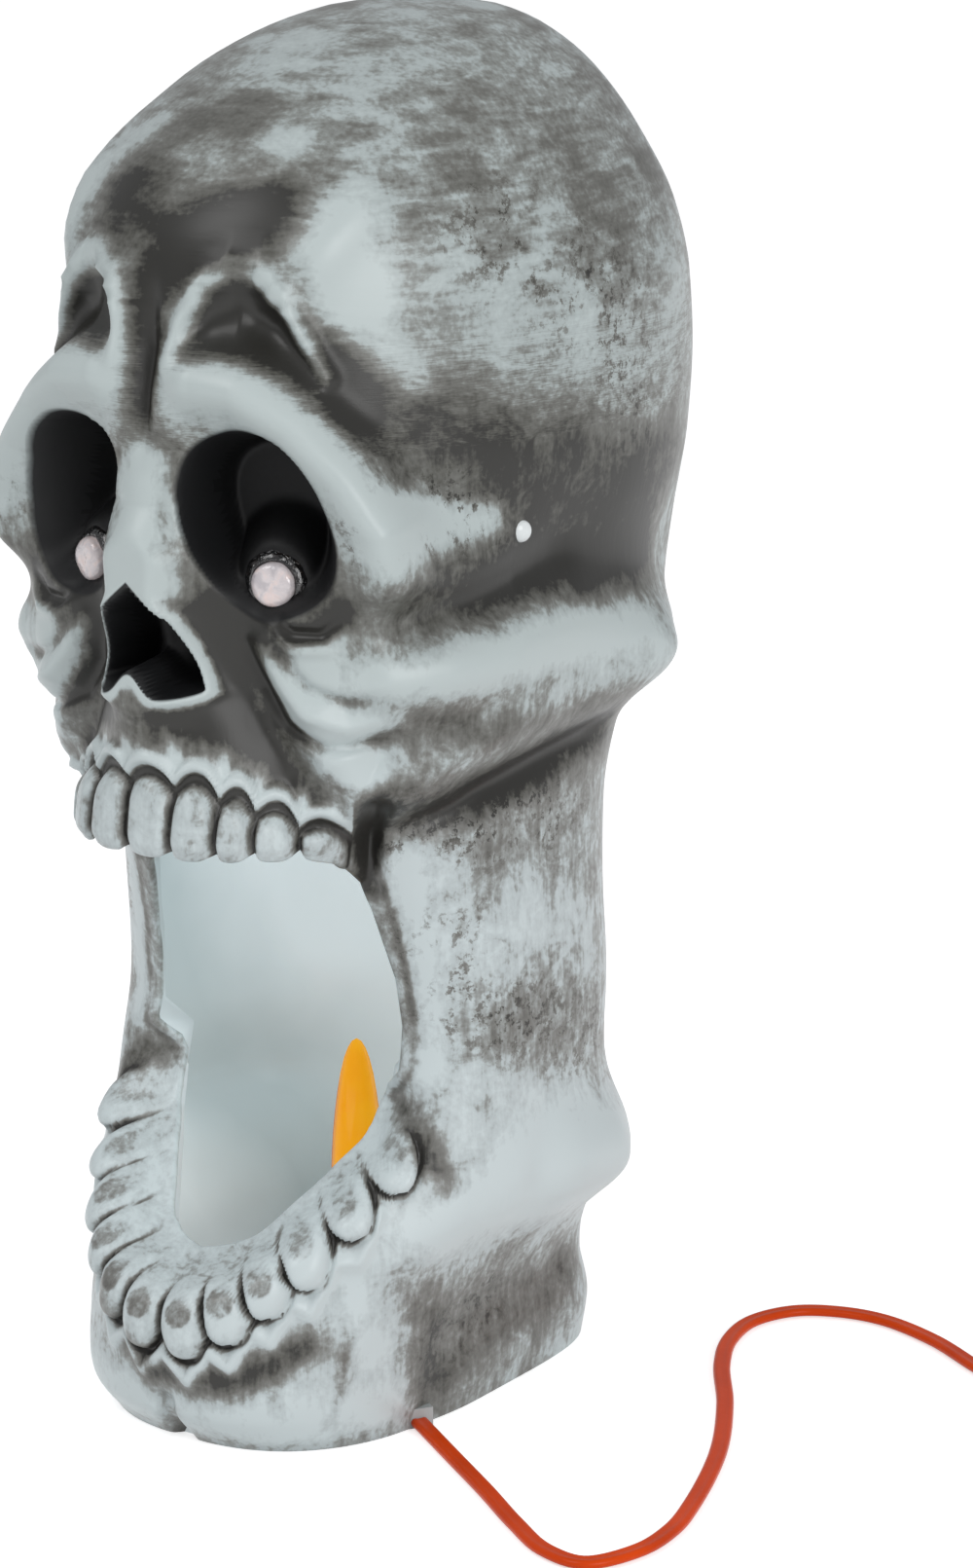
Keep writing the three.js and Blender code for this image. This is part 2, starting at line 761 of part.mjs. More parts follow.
function pinSeat() {
  const angle = pin.angle * degree;
  return plainRadius(angle, pin.z) + relief(angle, pin.z) - pin.seatSink;
}

// Middle and heading of the slot in the rim that the cord leaves through
function cordSlot() {
  const turn = new THREE.Matrix4().makeRotationZ((grommet.direction - 90) * degree);
  const heading = new THREE.Vector3(1, 0, 0).applyMatrix4(turn);
  const rim = cordRoute[0].clone();
  return { heading, rim };
}

const screwPlaces = base.screwAngles.map((degrees) => {
  const angle = degrees * degree;
  return onPlain(angle, 0, relief(angle, 0) - base.screwInset);
});

function slotCutter(extraWidth, top) {
  const { heading, rim } = cordSlot();
  const turn = Math.atan2(heading.y, heading.x);
  const matrix = new THREE.Matrix4().makeTranslation(rim.x, rim.y, -overrun)
    .multiply(new THREE.Matrix4().makeRotationZ(turn))
    .multiply(new THREE.Matrix4().makeTranslation(-grommet.length / 2, 0, 0));
  return boxAt(grommet.length * 2, grommet.width + 2 * extraWidth, top + overrun, matrix);
}

function skullShell() {
  let body = outerBody().subtract(hollowBody());
  const pocketTop = base.plate + clearance;
  body = body.subtract(slab(footShape(skull.wall), -overrun, pocketTop));
  body = body.subtract(slab(footShape(base.flangeWidth), 0, pocketTop + base.flange + overrun));
  body = body.subtract(mouthCutter()).subtract(noseCutter());
  const rows = [...eachTooth(upperToothEdges, upperRange), ...eachTooth(lowerToothEdges, lowerRange)];
  for (const one of rows) body = body.add(one);
  body = body.subtract(slotCutter(clearance, grommet.height + clearance));
  for (const [, side] of sides) {
    body = body.subtract(socketCutter(side));
    const eyePlace = outwards(side * eye.angle * degree, eye.z, 0);
    body = body.subtract(seatAndHole(eyePlace, eye.glueRadius + holeClearance, eyeSeat(),
      eye.shankRadius + holeClearance, eye.shankLength));
    const pinPlace = outwards(side * pin.angle * degree, pin.z, 0);
    body = body.subtract(seatAndHole(pinPlace, pin.headRadius + holeClearance, pinSeat(),
      pin.shankRadius + holeClearance, pin.shankLength));
  }
  for (const place of screwPlaces) {
    const hole = cylinder(screw.shankRadius + clearance, screw.length + overrun, 12);
    body = body.subtract(solid(hole, new THREE.Matrix4().makeTranslation(place.x, place.y, 0)));
  }
  return body;
}

function basePlate() {
  let body = slab(footShape(skull.wall + clearance), 0, base.plate);
  body = body.subtract(slotCutter(clearance, base.plate + overrun));
  for (const place of screwPlaces) {
    const matrix = new THREE.Matrix4().makeTranslation(place.x, place.y, -overrun);
    const hole = cylinder(screw.shankRadius + clearance, base.plate + 2 * overrun, 12);
    const sink = cylinder(screw.headRadius + holeClearance, screw.headLength + clearance + overrun, 16);
    body = body.subtract(solid(hole, matrix)).subtract(solid(sink, matrix));
  }
  return body;
}

function baseScrews() {
  const profile = [
    [0, screw.socketDepth], [screw.socketRadius, screw.socketDepth], [screw.socketRadius, 0],
    [screw.headRadius, 0], [screw.headRadius, screw.headLength],
    [screw.shankRadius, screw.headLength], [screw.shankRadius, screw.length - screw.shankRadius],
    [0, screw.length],
  ];
  screwPlaces.forEach((place, i) => {
    add(`base_screw_${i + 1}`, turned(profile, 12).translate(place.x, place.y, 0), materials.steel);
  });
}

function eyeParts(name, side) {
  const place = outwards(side * eye.angle * degree, eye.z, eyeSeat());
  const head = eye.headRadius;
  const lampProfile = [
    [0, clearance - eye.shankLength], [eye.shankRadius, clearance - eye.shankLength],
    [eye.shankRadius, clearance], [head, clearance], [head, eye.headLength - 1.2 * eye.glueLength / 2],
    [head * 0.8, eye.headLength - 0.3 * eye.glueLength], [head * 0.4, eye.headLength], [0, eye.headLength],
  ];
  add(`eye_lamp_${name}`, turned(lampProfile, 16).applyMatrix4(place), materials.lamp);
  const inner = head + clearance;
  const glueProfile = [
    [inner, clearance], [eye.glueRadius, clearance], [eye.glueRadius * 0.93, eye.glueLength * 0.6],
    [inner + 0.4 * (eye.glueRadius - inner), eye.glueLength], [inner, eye.glueLength * 0.9],
    [inner, clearance],
  ];
  add(`eye_glue_${name}`, turned(glueProfile, 16).applyMatrix4(place), materials.glue);
  const back = -eye.shankLength;
  const holderProfile = [
    [0, back - eye.holderLength], [eye.holderRadius * 0.7, back - eye.holderLength],
    [eye.holderRadius, back - eye.holderLength * 0.7], [eye.holderRadius, back], [0, back],
  ];
  add(`eye_holder_${name}`, turned(holderProfile, 12).applyMatrix4(place), materials.holder);
  return new THREE.Vector3(0, 0, back - eye.holderLength - clearance).applyMatrix4(place);
}

function templePin(name, side) {
  const place = outwards(side * pin.angle * degree, pin.z, pinSeat());
  const head = pin.headRadius;
  const profile = [
    [0, -pin.shankLength], [pin.shankRadius, -pin.shankLength], [pin.shankRadius, clearance],
    [head, clearance], [head * 0.9, pin.headLength * 0.6], [head * 0.5, pin.headLength], [0, pin.headLength],
  ];
  add(`temple_pin_${name}`, turned(profile, 10).applyMatrix4(place), materials.bone);
}

function flameParts() {
  const foot = base.plate + clearance;
  const postTop = foot + flame.footLength + flame.postLength;
  const spigotTop = postTop + flame.spigotLength;
  const bore = flame.lampRadius + clearance;
  const holderProfile = [
    [0, foot], [flame.footRadius, foot], [flame.footRadius, foot + flame.footLength],
    [flame.postRadius, foot + flame.footLength], [flame.postRadius, postTop],
    [flame.spigotRadius, postTop], [flame.spigotRadius, spigotTop],
    [bore, spigotTop], [bore, spigotTop - flame.lampShank], [0, spigotTop - flame.lampShank],
  ];
  add('flame_holder', turned(holderProfile, 20).translate(0, flame.y, 0), materials.holder);
  const lampFoot = spigotTop - flame.lampShank + clearance;
  const r = flame.lampRadius;
  const lampProfile = [
    [0, lampFoot], [r, lampFoot], [r, lampFoot + flame.lampLength * 0.75],
    [r * 0.75, lampFoot + flame.lampLength * 0.9], [r * 0.25, lampFoot + flame.lampLength],
    [0, lampFoot + flame.lampLength],
  ];
  add('flame_lamp', turned(lampProfile, 12).translate(0, flame.y, 0), materials.glass);
  const lens = flame.lensRadius;
  const wall = flame.lensWall;
  const lensFoot = postTop + clearance;
  const outerShares = [
    [0.94, 0], [1, 0.12], [1, 0.32], [0.93, 0.52], [0.76, 0.7], [0.5, 0.86], [0.24, 0.96],
  ];
  const outer = outerShares.map(([across, up]) => [across * lens, lensFoot + up * flame.lensLength]);
  const inner = outer.slice(0, 6).map(([radius, z]) => [radius - wall, z]).reverse();
  const tip = [0, lensFoot + flame.lensLength];
  const inside = [0, outer[5][1] + wall];
  const lensProfile = [inside, ...inner, ...outer, tip];
  add('flame_lens', turned(lensProfile, 16).translate(0, flame.y, 0), materials.flame);
}

function terminalBlock() {
  const foot = base.plate + clearance;
  const place = new THREE.Matrix4().makeTranslation(block.x, block.y, foot);
  let body = boxAt(block.length, block.width, block.height, place);
  const wells = [-1, 0, 1].map((k) => block.x + (k * block.length) / 3);
  for (const x of wells) {
    const well = cylinder(block.screwRadius + clearance, block.height, 10);
    body = body.subtract(solid(well, new THREE.Matrix4().makeTranslation(
      x, block.y, foot + block.height - block.screwLength - clearance)));
  }
  add('terminal_block', body, materials.lamp);
  wells.forEach((x, i) => {
    const one = cylinder(block.screwRadius, block.screwLength - clearance, 10);
    one.translate(x, block.y, foot + block.height - block.screwLength);
    add(`terminal_screw_${i + 1}`, one, materials.steel);
  });
}

// Where a lead runs down the inside: [degrees, height share]
const leadShares = [[74, 0.555], [84, 0.42], [88, 0.3], [96, 0.14]];

// Round or flat section of a wire, with an even number of sides
function wireSection(width, thickness, sides) {
  const points = [];
  for (let i = 0; i < sides; i += 1) {
    const turn = ((i + 0.5) / sides) * 2 * Math.PI;
    const stretch = 1 / Math.cos(Math.PI / sides);
    points.push(new THREE.Vector2((thickness / 2) * stretch * Math.cos(turn), (width / 2) * Math.sin(turn)));
  }
  return new THREE.Shape(points);
}

function tube(points, section, steps) {
  const extrudePath = new THREE.CatmullRomCurve3(points);
  return new THREE.ExtrudeGeometry(section, { steps, extrudePath, bevelEnabled: false });
}

// A lead inside the skull: out of the holder, over to the left wall and down to the terminals
function innerLead(name, start, side, entry) {
  const section = wireSection(2 * lead.radius, 2 * lead.radius, lead.sides);
  const away = new THREE.Vector3(-Math.sin(side * eye.angle * degree), Math.cos(eye.angle * degree), 0);
  const stub = start.clone().addScaledVector(away, 3 * lead.radius);
  const wall = (z, degrees, inset) => onPlain(degrees * degree, z, -inset);
  const inset = face.templeLower + face.templeUpper + skull.wall + (side > 0 ? 3 : 7) * lead.radius;
  const points = [start, stub];
  if (side < 0) points.push(new THREE.Vector3(0, stub.y + socket.depth, eye.z + socket.short));
  for (const [degrees, share] of leadShares) points.push(wall(skull.height * share, degrees, inset));
  const last = entry.clone().add(new THREE.Vector3(0, 3 * lead.radius, 0));
  points.push(last.clone().add(new THREE.Vector3(block.screwRadius, 4 * lead.radius, lead.radius)));
  points.push(last, entry);
  add(name, tube(points, section, lead.steps), materials.wire);
}

function wiring(holderBacks) {
  const entryZ = base.plate + clearance + block.height / 2;
  const back = block.y + block.width / 2 + clearance;
  const front = block.y - block.width / 2 - clearance;
  const third = block.length / 3;
  innerLead('eye_lead_left', holderBacks[0], 1, new THREE.Vector3(block.x + third, back, entryZ));
  innerLead('eye_lead_right', holderBacks[1], -1, new THREE.Vector3(block.x, back, entryZ));
  const section = wireSection(2 * lead.radius, 2 * lead.radius, lead.sides);
  const postZ = base.plate + clearance + flame.footLength + 3 * lead.radius;
  const postBack = flame.y + flame.postRadius + clearance;
  const ends = [new THREE.Vector3(0, postBack, postZ), new THREE.Vector3(block.x, front, entryZ)];
  add('flame_lead', tube([ends[0], ends[0].clone().add(new THREE.Vector3(0, 2 * lead.radius, 0)),
    ends[1].clone().add(new THREE.Vector3(0, -2 * lead.radius, 0)), ends[1]], section, 8), materials.wire);
}

// The coil winds in on its first layer, and out again on its second
function coilRadius(turn) {
  return coil.innerRadius + Math.abs(turn - coil.loopsIn) * coil.pitch;
}

function coilPoints() {
  const turns = coil.loopsIn + coil.loopsOut;
  const count = Math.round(turns * coil.stepsPerLoop);
  const low = tie.thickness + clearance + cord.thickness / 2;
  const points = [];
  for (let i = 0; i <= count; i += 1) {
    const turn = (i / count) * turns;
    const radius = coilRadius(turn);
    const rise = smoothstep(coil.loopsIn - coil.climb / 2, coil.loopsIn + coil.climb / 2, turn);
    const angle = coil.startAngle * degree + turn * 2 * Math.PI;
    points.push(new THREE.Vector3(coil.x + radius * Math.cos(angle), coil.y + radius * Math.sin(angle),
      low + coil.layerPitch * rise));
  }
  return points;
}

// Least distance between the surfaces of turns that lie side by side or one above the other
function leastGap(points) {
  const rings = points.map((point, i) => {
    const next = points[Math.min(i + 1, points.length - 1)];
    const along = next.clone().sub(points[Math.max(i - 1, 0)]).setZ(0).normalize();
    const across = new THREE.Vector3(-along.y, along.x, 0);
    return Array.from({ length: 24 }, (_, k) => point.clone()
      .addScaledVector(across, (cord.width / 2) * Math.cos((k * Math.PI) / 12))
      .add(new THREE.Vector3(0, 0, (cord.thickness / 2) * Math.sin((k * Math.PI) / 12))));
  });
  let least = Infinity;
  for (let i = 0; i < rings.length; i += 1) {
    for (let j = i + coil.stepsPerLoop / 2; j < rings.length; j += 1) {
      if (points[i].distanceTo(points[j]) > 3 * cord.width) continue;
      for (const a of rings[i]) for (const b of rings[j]) least = Math.min(least, a.distanceTo(b));
    }
  }
  return least;
}

const cordLook = [cord.width, cord.thickness];

function straightEnd(points, length) {
  const last = points[points.length - 1];
  const before = points[points.length - 2];
  const heading = last.clone().sub(before).setZ(0).normalize();
  return last.clone().addScaledVector(heading, length);
}

function cordParts() {
  const floor = 2 * clearance + cord.thickness / 2;
  const turns = coilPoints();
  console.log('least gap in the coil, mm:', leastGap(turns).toFixed(2));
  const entry = turns[0].clone().sub(turns[1]).setZ(0).normalize();
  const coilStart = turns[0].clone().addScaledVector(entry, cord.width);
  const coilEnd = straightEnd(turns, cord.width);
  const coilPath = [coilStart, ...turns, coilEnd];
  add('cord_coil', tube(coilPath, wireSection(...cordLook, 6), coilPath.length - 1), materials.cord);
  const meet = coilStart.clone().addScaledVector(entry, clearance);
  const onFloor = cordRoute.map((point) => point.clone().setZ(floor));
  const route = [...onFloor, meet.clone().addScaledVector(entry, cord.width), meet];
  add('cord_lead', tube(route, wireSection(...cordLook, 8), cord.leadSteps), materials.cord);
  const heading = coilEnd.clone().sub(turns[turns.length - 1]).setZ(0).normalize();
  const tailStart = coilEnd.clone().addScaledVector(heading, clearance);
  const high = plug.height / 2;
  const heights = [coilEnd.z, (coilEnd.z + high) / 2, high, high];
  const rest = tailRoute.map(([x, y], i) => new THREE.Vector3(x, y, heights[i]));
  const tail = [tailStart, tailStart.clone().addScaledVector(heading, cord.width), ...rest];
  add('cord_tail', tube(tail, wireSection(...cordLook, 8), cord.tailSteps), materials.cord);
  return rest[rest.length - 1];
}

// A band round the wound bundle, on the side away from the skull
function coilTie() {
  const turn = ((tie.angle - coil.startAngle) / 360 + 1) % 1;
  const inner = coil.innerRadius - cord.width / 2 - 2 * clearance;
  const outer = coilRadius(turn) + cord.width / 2 + 2 * clearance;
  const top = tie.thickness + 2 * clearance + cord.thickness + coil.layerPitch + clearance;
  const place = new THREE.Matrix4().makeTranslation(coil.x, coil.y, 0)
    .multiply(new THREE.Matrix4().makeRotationZ(tie.angle * degree));
  const band = (from, to, bottom, height, width) => boxAt(to - from, width, height,
    place.clone().multiply(new THREE.Matrix4().makeTranslation((from + to) / 2, 0, bottom)));
  const outside = band(inner - tie.thickness, outer + tie.thickness, 0, top + tie.thickness, tie.width);
  return outside.subtract(band(inner, outer, tie.thickness, top - tie.thickness, tie.width * 2));
}

function cordGrommet() {
  const { heading, rim } = cordSlot();
  const place = new THREE.Matrix4().makeTranslation(rim.x, rim.y, 0)
    .multiply(new THREE.Matrix4().makeRotationZ(Math.atan2(heading.y, heading.x)));
  const shift = (x, z) => place.clone().multiply(new THREE.Matrix4().makeTranslation(x, 0, z));
  const middleX = -clearance - grommet.length / 2;
  const body = boxAt(grommet.length, grommet.width, grommet.height, shift(middleX, 0));
  const collarX = grommet.collarLength / 2 - clearance - grommet.length;
  const collar = boxAt(grommet.collarLength, grommet.collarWidth, grommet.collarHeight,
    shift(collarX, base.plate + clearance));
  return body.add(collar);
}

// The plug stands in its own frame, blades along +Y, on the surface
function plugParts(entry) {
  const place = new THREE.Matrix4().makeTranslation(entry.x, entry.y + clearance, 0);
  const at = (x, y, z) => place.clone().multiply(new THREE.Matrix4().makeTranslation(x, y, z));
  const half = plug.width / 2;
  const r = plug.radius;
  const outline = new THREE.Shape();
  outline.moveTo(-plug.noseWidth / 2, 0);
  outline.lineTo(plug.noseWidth / 2, 0);
  outline.lineTo(half, plug.noseLength);
  outline.lineTo(half, plug.length - r);
  outline.absarc(half - r, plug.length - r, r, 0, Math.PI / 2, false);
  outline.absarc(r - half, plug.length - r, r, Math.PI / 2, Math.PI, false);
  outline.lineTo(-half, plug.noseLength);
  const bevel = r / 2;
  const geometry = new THREE.ExtrudeGeometry(outline, {
    depth: plug.height - 2 * bevel, curveSegments: 3, bevelThickness: bevel, bevelSize: bevel,
    bevelOffset: -bevel, bevelSegments: 1,
  });
  let body = solid(geometry, at(0, 0, bevel));
  const doorBack = plug.length - plug.doorLength;
  const doorBottom = plug.height - plug.doorThickness;
  const run = plug.doorLength + overrun;
  body = body.subtract(boxAt(plug.doorWidth + 2 * clearance, run + clearance, plug.doorThickness + overrun,
    at(0, doorBack - clearance + (run + clearance) / 2, doorBottom - clearance)));
  const pocketY = doorBack + plug.pocketLength / 2 + 1.5 * plug.doorThickness;
  body = body.subtract(boxAt(plug.pocketWidth, plug.pocketLength, plug.pocketDepth,
    at(0, pocketY, doorBottom - plug.pocketDepth)));
  const bladeZ = (doorBottom - plug.pocketDepth) / 2 + plug.bladeThickness;
  const blades = [['wide', -1, plug.bladeWide], ['narrow', 1, plug.bladeNarrow]];
  for (const [name, side, width] of blades) {
    const x = (side * plug.bladeGap) / 2;
    const length = plug.bladeLength + plug.bladeRoot;
    const y = plug.length - plug.bladeRoot;
    body = body.subtract(boxAt(plug.bladeThickness + 2 * clearance, length, width + 2 * clearance,
      at(x, y + length / 2 - clearance, bladeZ - width / 2 - clearance)));
    const blade = boxAt(plug.bladeThickness, length, width, at(x, y + length / 2, bladeZ - width / 2));
    add(`plug_blade_${name}`, blade, materials.brass);
  }
  add('plug_body', body, materials.plug);
  const plate = boxAt(plug.doorWidth, plug.doorLength - clearance, plug.doorThickness,
    at(0, doorBack + plug.doorLength / 2, doorBottom));
  const grip = boxAt(plug.doorWidth * 0.6, plug.doorThickness * 0.6, plug.doorThickness / 2,
    at(0, doorBack + plug.doorLength * 0.25, plug.height - clearance / 2));
  add('plug_fuse_door', plate.add(grip), materials.plug);
  for (const [name, side] of sides) {
    const fuse = cylinder(plug.fuseRadius, plug.fuseLength, 10).rotateX(-Math.PI / 2);
    const z = doorBottom - plug.pocketDepth + plug.fuseRadius + clearance;
    const matrix = at(side * (plug.fuseRadius + clearance), pocketY - plug.fuseLength / 2, z);
    add(`plug_fuse_${name}`, fuse.applyMatrix4(matrix), materials.glass);
  }
}

function innerCord() {
  const { heading, rim } = cordSlot();
  const start = rim.clone().addScaledVector(heading, -grommet.length - 2 * clearance);
  start.z = base.plate + clearance + grommet.collarHeight / 2;
  const endX = block.x + block.length / 2 + clearance;
  const end = new THREE.Vector3(endX, block.y, base.plate + block.height / 2);
  const points = [
    start, start.clone().addScaledVector(heading, -cord.width),
    new THREE.Vector3(end.x + 2 * cord.width, end.y - 3 * cord.width, start.z),
    end.clone().add(new THREE.Vector3(cord.width, 0, 0)), end,
  ];
  add('inner_cord', tube(points, wireSection(...cordLook, 8), cord.innerSteps), materials.cord);
}

add('skull_shell', skullShell(), materials.bone);
add('base_plate', basePlate(), materials.base);
baseScrews();
const holderBacks = sides.map(([name, side]) => eyeParts(name, side));
for (const [name, side] of sides) templePin(name, side);
flameParts();
terminalBlock();
wiring(holderBacks);
add('cord_grommet', cordGrommet(), materials.cord);
innerCord();
const plugEntry = cordParts();
add('coil_tie', coilTie(), materials.tie);
plugParts(plugEntry);

export default lamp;
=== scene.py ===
import math

import bmesh
import bpy
import numpy as np
from mathutils import Matrix, Vector


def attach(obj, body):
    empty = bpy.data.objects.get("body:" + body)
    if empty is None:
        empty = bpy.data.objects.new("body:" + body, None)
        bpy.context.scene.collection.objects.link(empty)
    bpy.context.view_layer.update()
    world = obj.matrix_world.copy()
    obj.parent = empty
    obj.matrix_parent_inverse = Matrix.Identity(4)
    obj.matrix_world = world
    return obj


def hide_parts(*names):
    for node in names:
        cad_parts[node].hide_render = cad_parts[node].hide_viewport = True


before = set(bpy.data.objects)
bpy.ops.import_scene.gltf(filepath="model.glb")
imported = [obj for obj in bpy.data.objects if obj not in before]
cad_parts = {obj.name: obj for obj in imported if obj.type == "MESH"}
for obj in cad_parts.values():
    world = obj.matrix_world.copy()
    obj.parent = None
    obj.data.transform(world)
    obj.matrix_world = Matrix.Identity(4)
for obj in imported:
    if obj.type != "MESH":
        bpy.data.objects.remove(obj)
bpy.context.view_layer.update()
MM = 0.001

# Camera, at the photograph's angle
AZIMUTH, ELEVATION, DISTANCE = 35.0, 14.2, 1141.5
TARGET = Vector((29.4, 10.0, 161.9))
LENS, SENSOR = 97.36, 36.0


def make_camera():
    azimuth, elevation = math.radians(AZIMUTH), math.radians(ELEVATION)
    flat = math.cos(elevation)
    back = Vector((math.sin(azimuth) * flat, -math.cos(azimuth) * flat, math.sin(elevation)))
    data = bpy.data.cameras.new("camera")
    data.lens, data.sensor_width = LENS, SENSOR
    camera = bpy.data.objects.new("camera", data)
    camera.location = (TARGET + back * DISTANCE) * MM
    camera.rotation_euler = (-back).to_track_quat("-Z", "Y").to_euler()
    bpy.context.scene.collection.objects.link(camera)
    bpy.context.scene.camera = camera


make_camera()


# Small makers: vertices this near merge, and edges this bent are sharp. A curve has so many samples
# between two of its points, and a tube that starts this near to upright takes another way across.
MERGE, TINY = 1e-4, 1e-6
SHARP = math.radians(40)
PER_SPAN = 24
NEAR_UPRIGHT = 0.1


# An sRGB hex value, turned to linear
def linear(code):
    values = [int(code[i:i + 2], 16) / 255 for i in (1, 3, 5)]
    return [v / 12.92 if v <= 0.04045 else ((v + 0.055) / 1.055) ** 2.4 for v in values] + [1.0]


# Adds a node with its settings and links. Inputs are values or other nodes' outputs.
def node(tree, kind, inputs=None, output=0, stops=None, **settings):
    made = tree.nodes.new("ShaderNode" + kind)
    for name, value in settings.items():
        setattr(made, name, value)
    for name, value in (inputs or {}).items():
        if isinstance(value, bpy.types.NodeSocket):
            tree.links.new(value, made.inputs[name])
        else:
            made.inputs[name].default_value = value
    if stops:
        points = made.color_ramp.elements
        while len(points) < len(stops):
            points.new(0.5)
        for point, (place, colour) in zip(points, stops):
            point.position, point.color = place, linear(colour)
    return made.outputs[output] if made.outputs else made


# A material from a function that adds the nodes of its surface and returns the shader
def material(name, surface):
    made = bpy.data.materials.new(name)
    made.use_nodes = True
    made.node_tree.nodes.clear()
    node(made.node_tree, "OutputMaterial", {"Surface": surface(made.node_tree)})
    return made


def smooth(low, high, value):
    t = np.clip((value - low) / (high - low), 0, 1)
    return t * t * (3 - 2 * t)


# Turns a finished bmesh in millimetres into a piece, which takes the place of CAD nodes
def finish(name, bm, finishes, replaced, body="root"):
    bmesh.ops.scale(bm, vec=(MM, MM, MM), verts=bm.verts)
    mesh = bpy.data.meshes.new(name)
    bm.to_mesh(mesh)
    bm.free()
    for made in finishes:
        mesh.materials.append(made)
    piece = bpy.data.objects.new(name, mesh)
    bpy.context.scene.collection.objects.link(piece)
    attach(piece, body)
    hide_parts(*replaced)
    return piece


# Adds a grid whose rows are closed rings through the points, with values kept on its vertices
def add_rings(bm, points, values=None):
    rows, columns = points.shape[:2]
    layers = bm.verts.layers.float
    kept = {name: layers.get(name) or layers.new(name) for name in values or {}}
    made = bmesh.ops.create_grid(bm, x_segments=columns, y_segments=rows - 1, size=1)["verts"]
    table = {}
    for vert in made:
        column = round((vert.co.x + 1) / 2 * columns)
        row = round((vert.co.y + 1) / 2 * (rows - 1))
        table[row, column] = vert
    for (row, column), vert in table.items():
        vert.co = points[row, column % columns]
        for name, layer in kept.items():
            vert[layer] = values[name][row, column % columns]
    seam = [table[row, column] for row in range(rows) for column in (0, columns)]
    bmesh.ops.remove_doubles(bm, verts=seam, dist=MERGE)


def close_and_turn_out(bm):
    bmesh.ops.holes_fill(bm, edges=[edge for edge in bm.edges if edge.is_boundary], sides=0)
    bmesh.ops.recalc_face_normals(bm, faces=bm.faces)


def shade(bm, sharp=SHARP):
    for face in bm.faces:
        face.smooth = True
    for edge in bm.edges:
        edge.smooth = edge.calc_face_angle(0) < sharp


# A centripetal Catmull-Rom curve through points, cut at an even step
def through_points(points, step):
    points = [np.asarray(point, float) for point in points]
    padded = [2 * points[0] - points[1], *points, 2 * points[-1] - points[-2]]
    dense = []
    for four in zip(padded, padded[1:], padded[2:], padded[3:]):
        knots = [0.0]
        for first, second in zip(four, four[1:]):
            knots.append(knots[-1] + math.sqrt(max(np.linalg.norm(second - first), TINY)))
        for t in np.linspace(knots[1], knots[2], PER_SPAN, endpoint=False):
            level = list(four)
            for width, starts in ((1, (0, 1, 2)), (2, (0, 1)), (1, (1,))):
                level = [
                    (level[i] * (knots[start + width] - t) + level[i + 1] * (t - knots[start]))
                    / (knots[start + width] - knots[start])
                    for i, start in enumerate(starts)
                ]
            dense.append(level[0])
    dense.append(points[-1])
    return evenly(np.array(dense), step)


def evenly(line, step):
    along = np.concatenate([[0.0], np.cumsum(np.linalg.norm(np.diff(line, axis=0), axis=1))])
    places = np.linspace(0, along[-1], max(round(along[-1] / step), 2) + 1)
    return np.column_stack([np.interp(places, along, line[:, axis]) for axis in range(3)])


# A tube along a line. A flat section keeps its width level.
def tube(line, section, level=True):
    tangents = np.gradient(line, axis=0)
    tangents /= np.linalg.norm(tangents, axis=1)[:, None]
    across = np.cross(tangents[0], [0.0, 0.0, 1.0])
    if np.linalg.norm(across) < NEAR_UPRIGHT:
        across = np.cross(tangents[0], [0.0, 1.0, 0.0])
    rings = []
    for tangent, point in zip(tangents, line):
        if level:
            across = np.cross(tangent, [0.0, 0.0, 1.0])
        across = across - tangent * (across @ tangent)
        across /= np.linalg.norm(across)
        over = np.cross(across, tangent)
        rings.append(point + section[:, :1] * across + section[:, 1:] * over)
    bm = bmesh.new()
    add_rings(bm, np.array(rings))
    close_and_turn_out(bm)
    shade(bm)
    return bm


# Turns a profile of [radius, height] about the Z axis
def turned(profile, steps):
    bm = bmesh.new()
    verts = [bm.verts.new((radius, 0, height)) for radius, height in profile]
    edges = [bm.edges.new(pair) for pair in zip(verts, verts[1:])]
    bmesh.ops.spin(bm, geom=verts + edges, cent=(0, 0, 0), axis=(0, 0, 1), angle=2 * math.pi, steps=steps,
                   use_merge=True, use_duplicate=False)
    bmesh.ops.remove_doubles(bm, verts=bm.verts, dist=MERGE)
    bmesh.ops.recalc_face_normals(bm, faces=bm.faces)
    return bm


# Mains cord
CORD_WIDTH, CORD_THICKNESS = 4.8, 2.4
CLEARANCE = 0.3
ROUTE_STEP, CORD_STEP = 1.5, 1.6
# Each core's section stops this share of a half turn from its outer side, in the groove
CORE_SHARE = 0.68
CORD_ROUTE = [
    (47.7, -47.15), (51.9, -49.95), (69, -61.3), (88.3, -74.1), (106, -86.4), (120.4, -94.8),
    (132.4, -95.5), (139.4, -82), (139.6, -67), (135.8, -51.8), (123.4, -19), (107.5, 10), (92.2, 33),
    (84.2, 50), (82, 66), (88, 79.5), (99, 86), (112, 87.6), (131.1, 82.2), (148.7, 72.6), (160, 66.4),
]
TAIL_ROUTE = [(228.6, 110), (228.8, 119), (229, 127), (229, 132)]
COIL = dict(x=189.3, y=91.3, inner=19.3, pitch=5.3, layer=3.1, start=241.4, inward=3.6, outward=3.73,
            climb=0.5)
PLUG_HEIGHT = 16.0
TIE_THICKNESS = 0.8


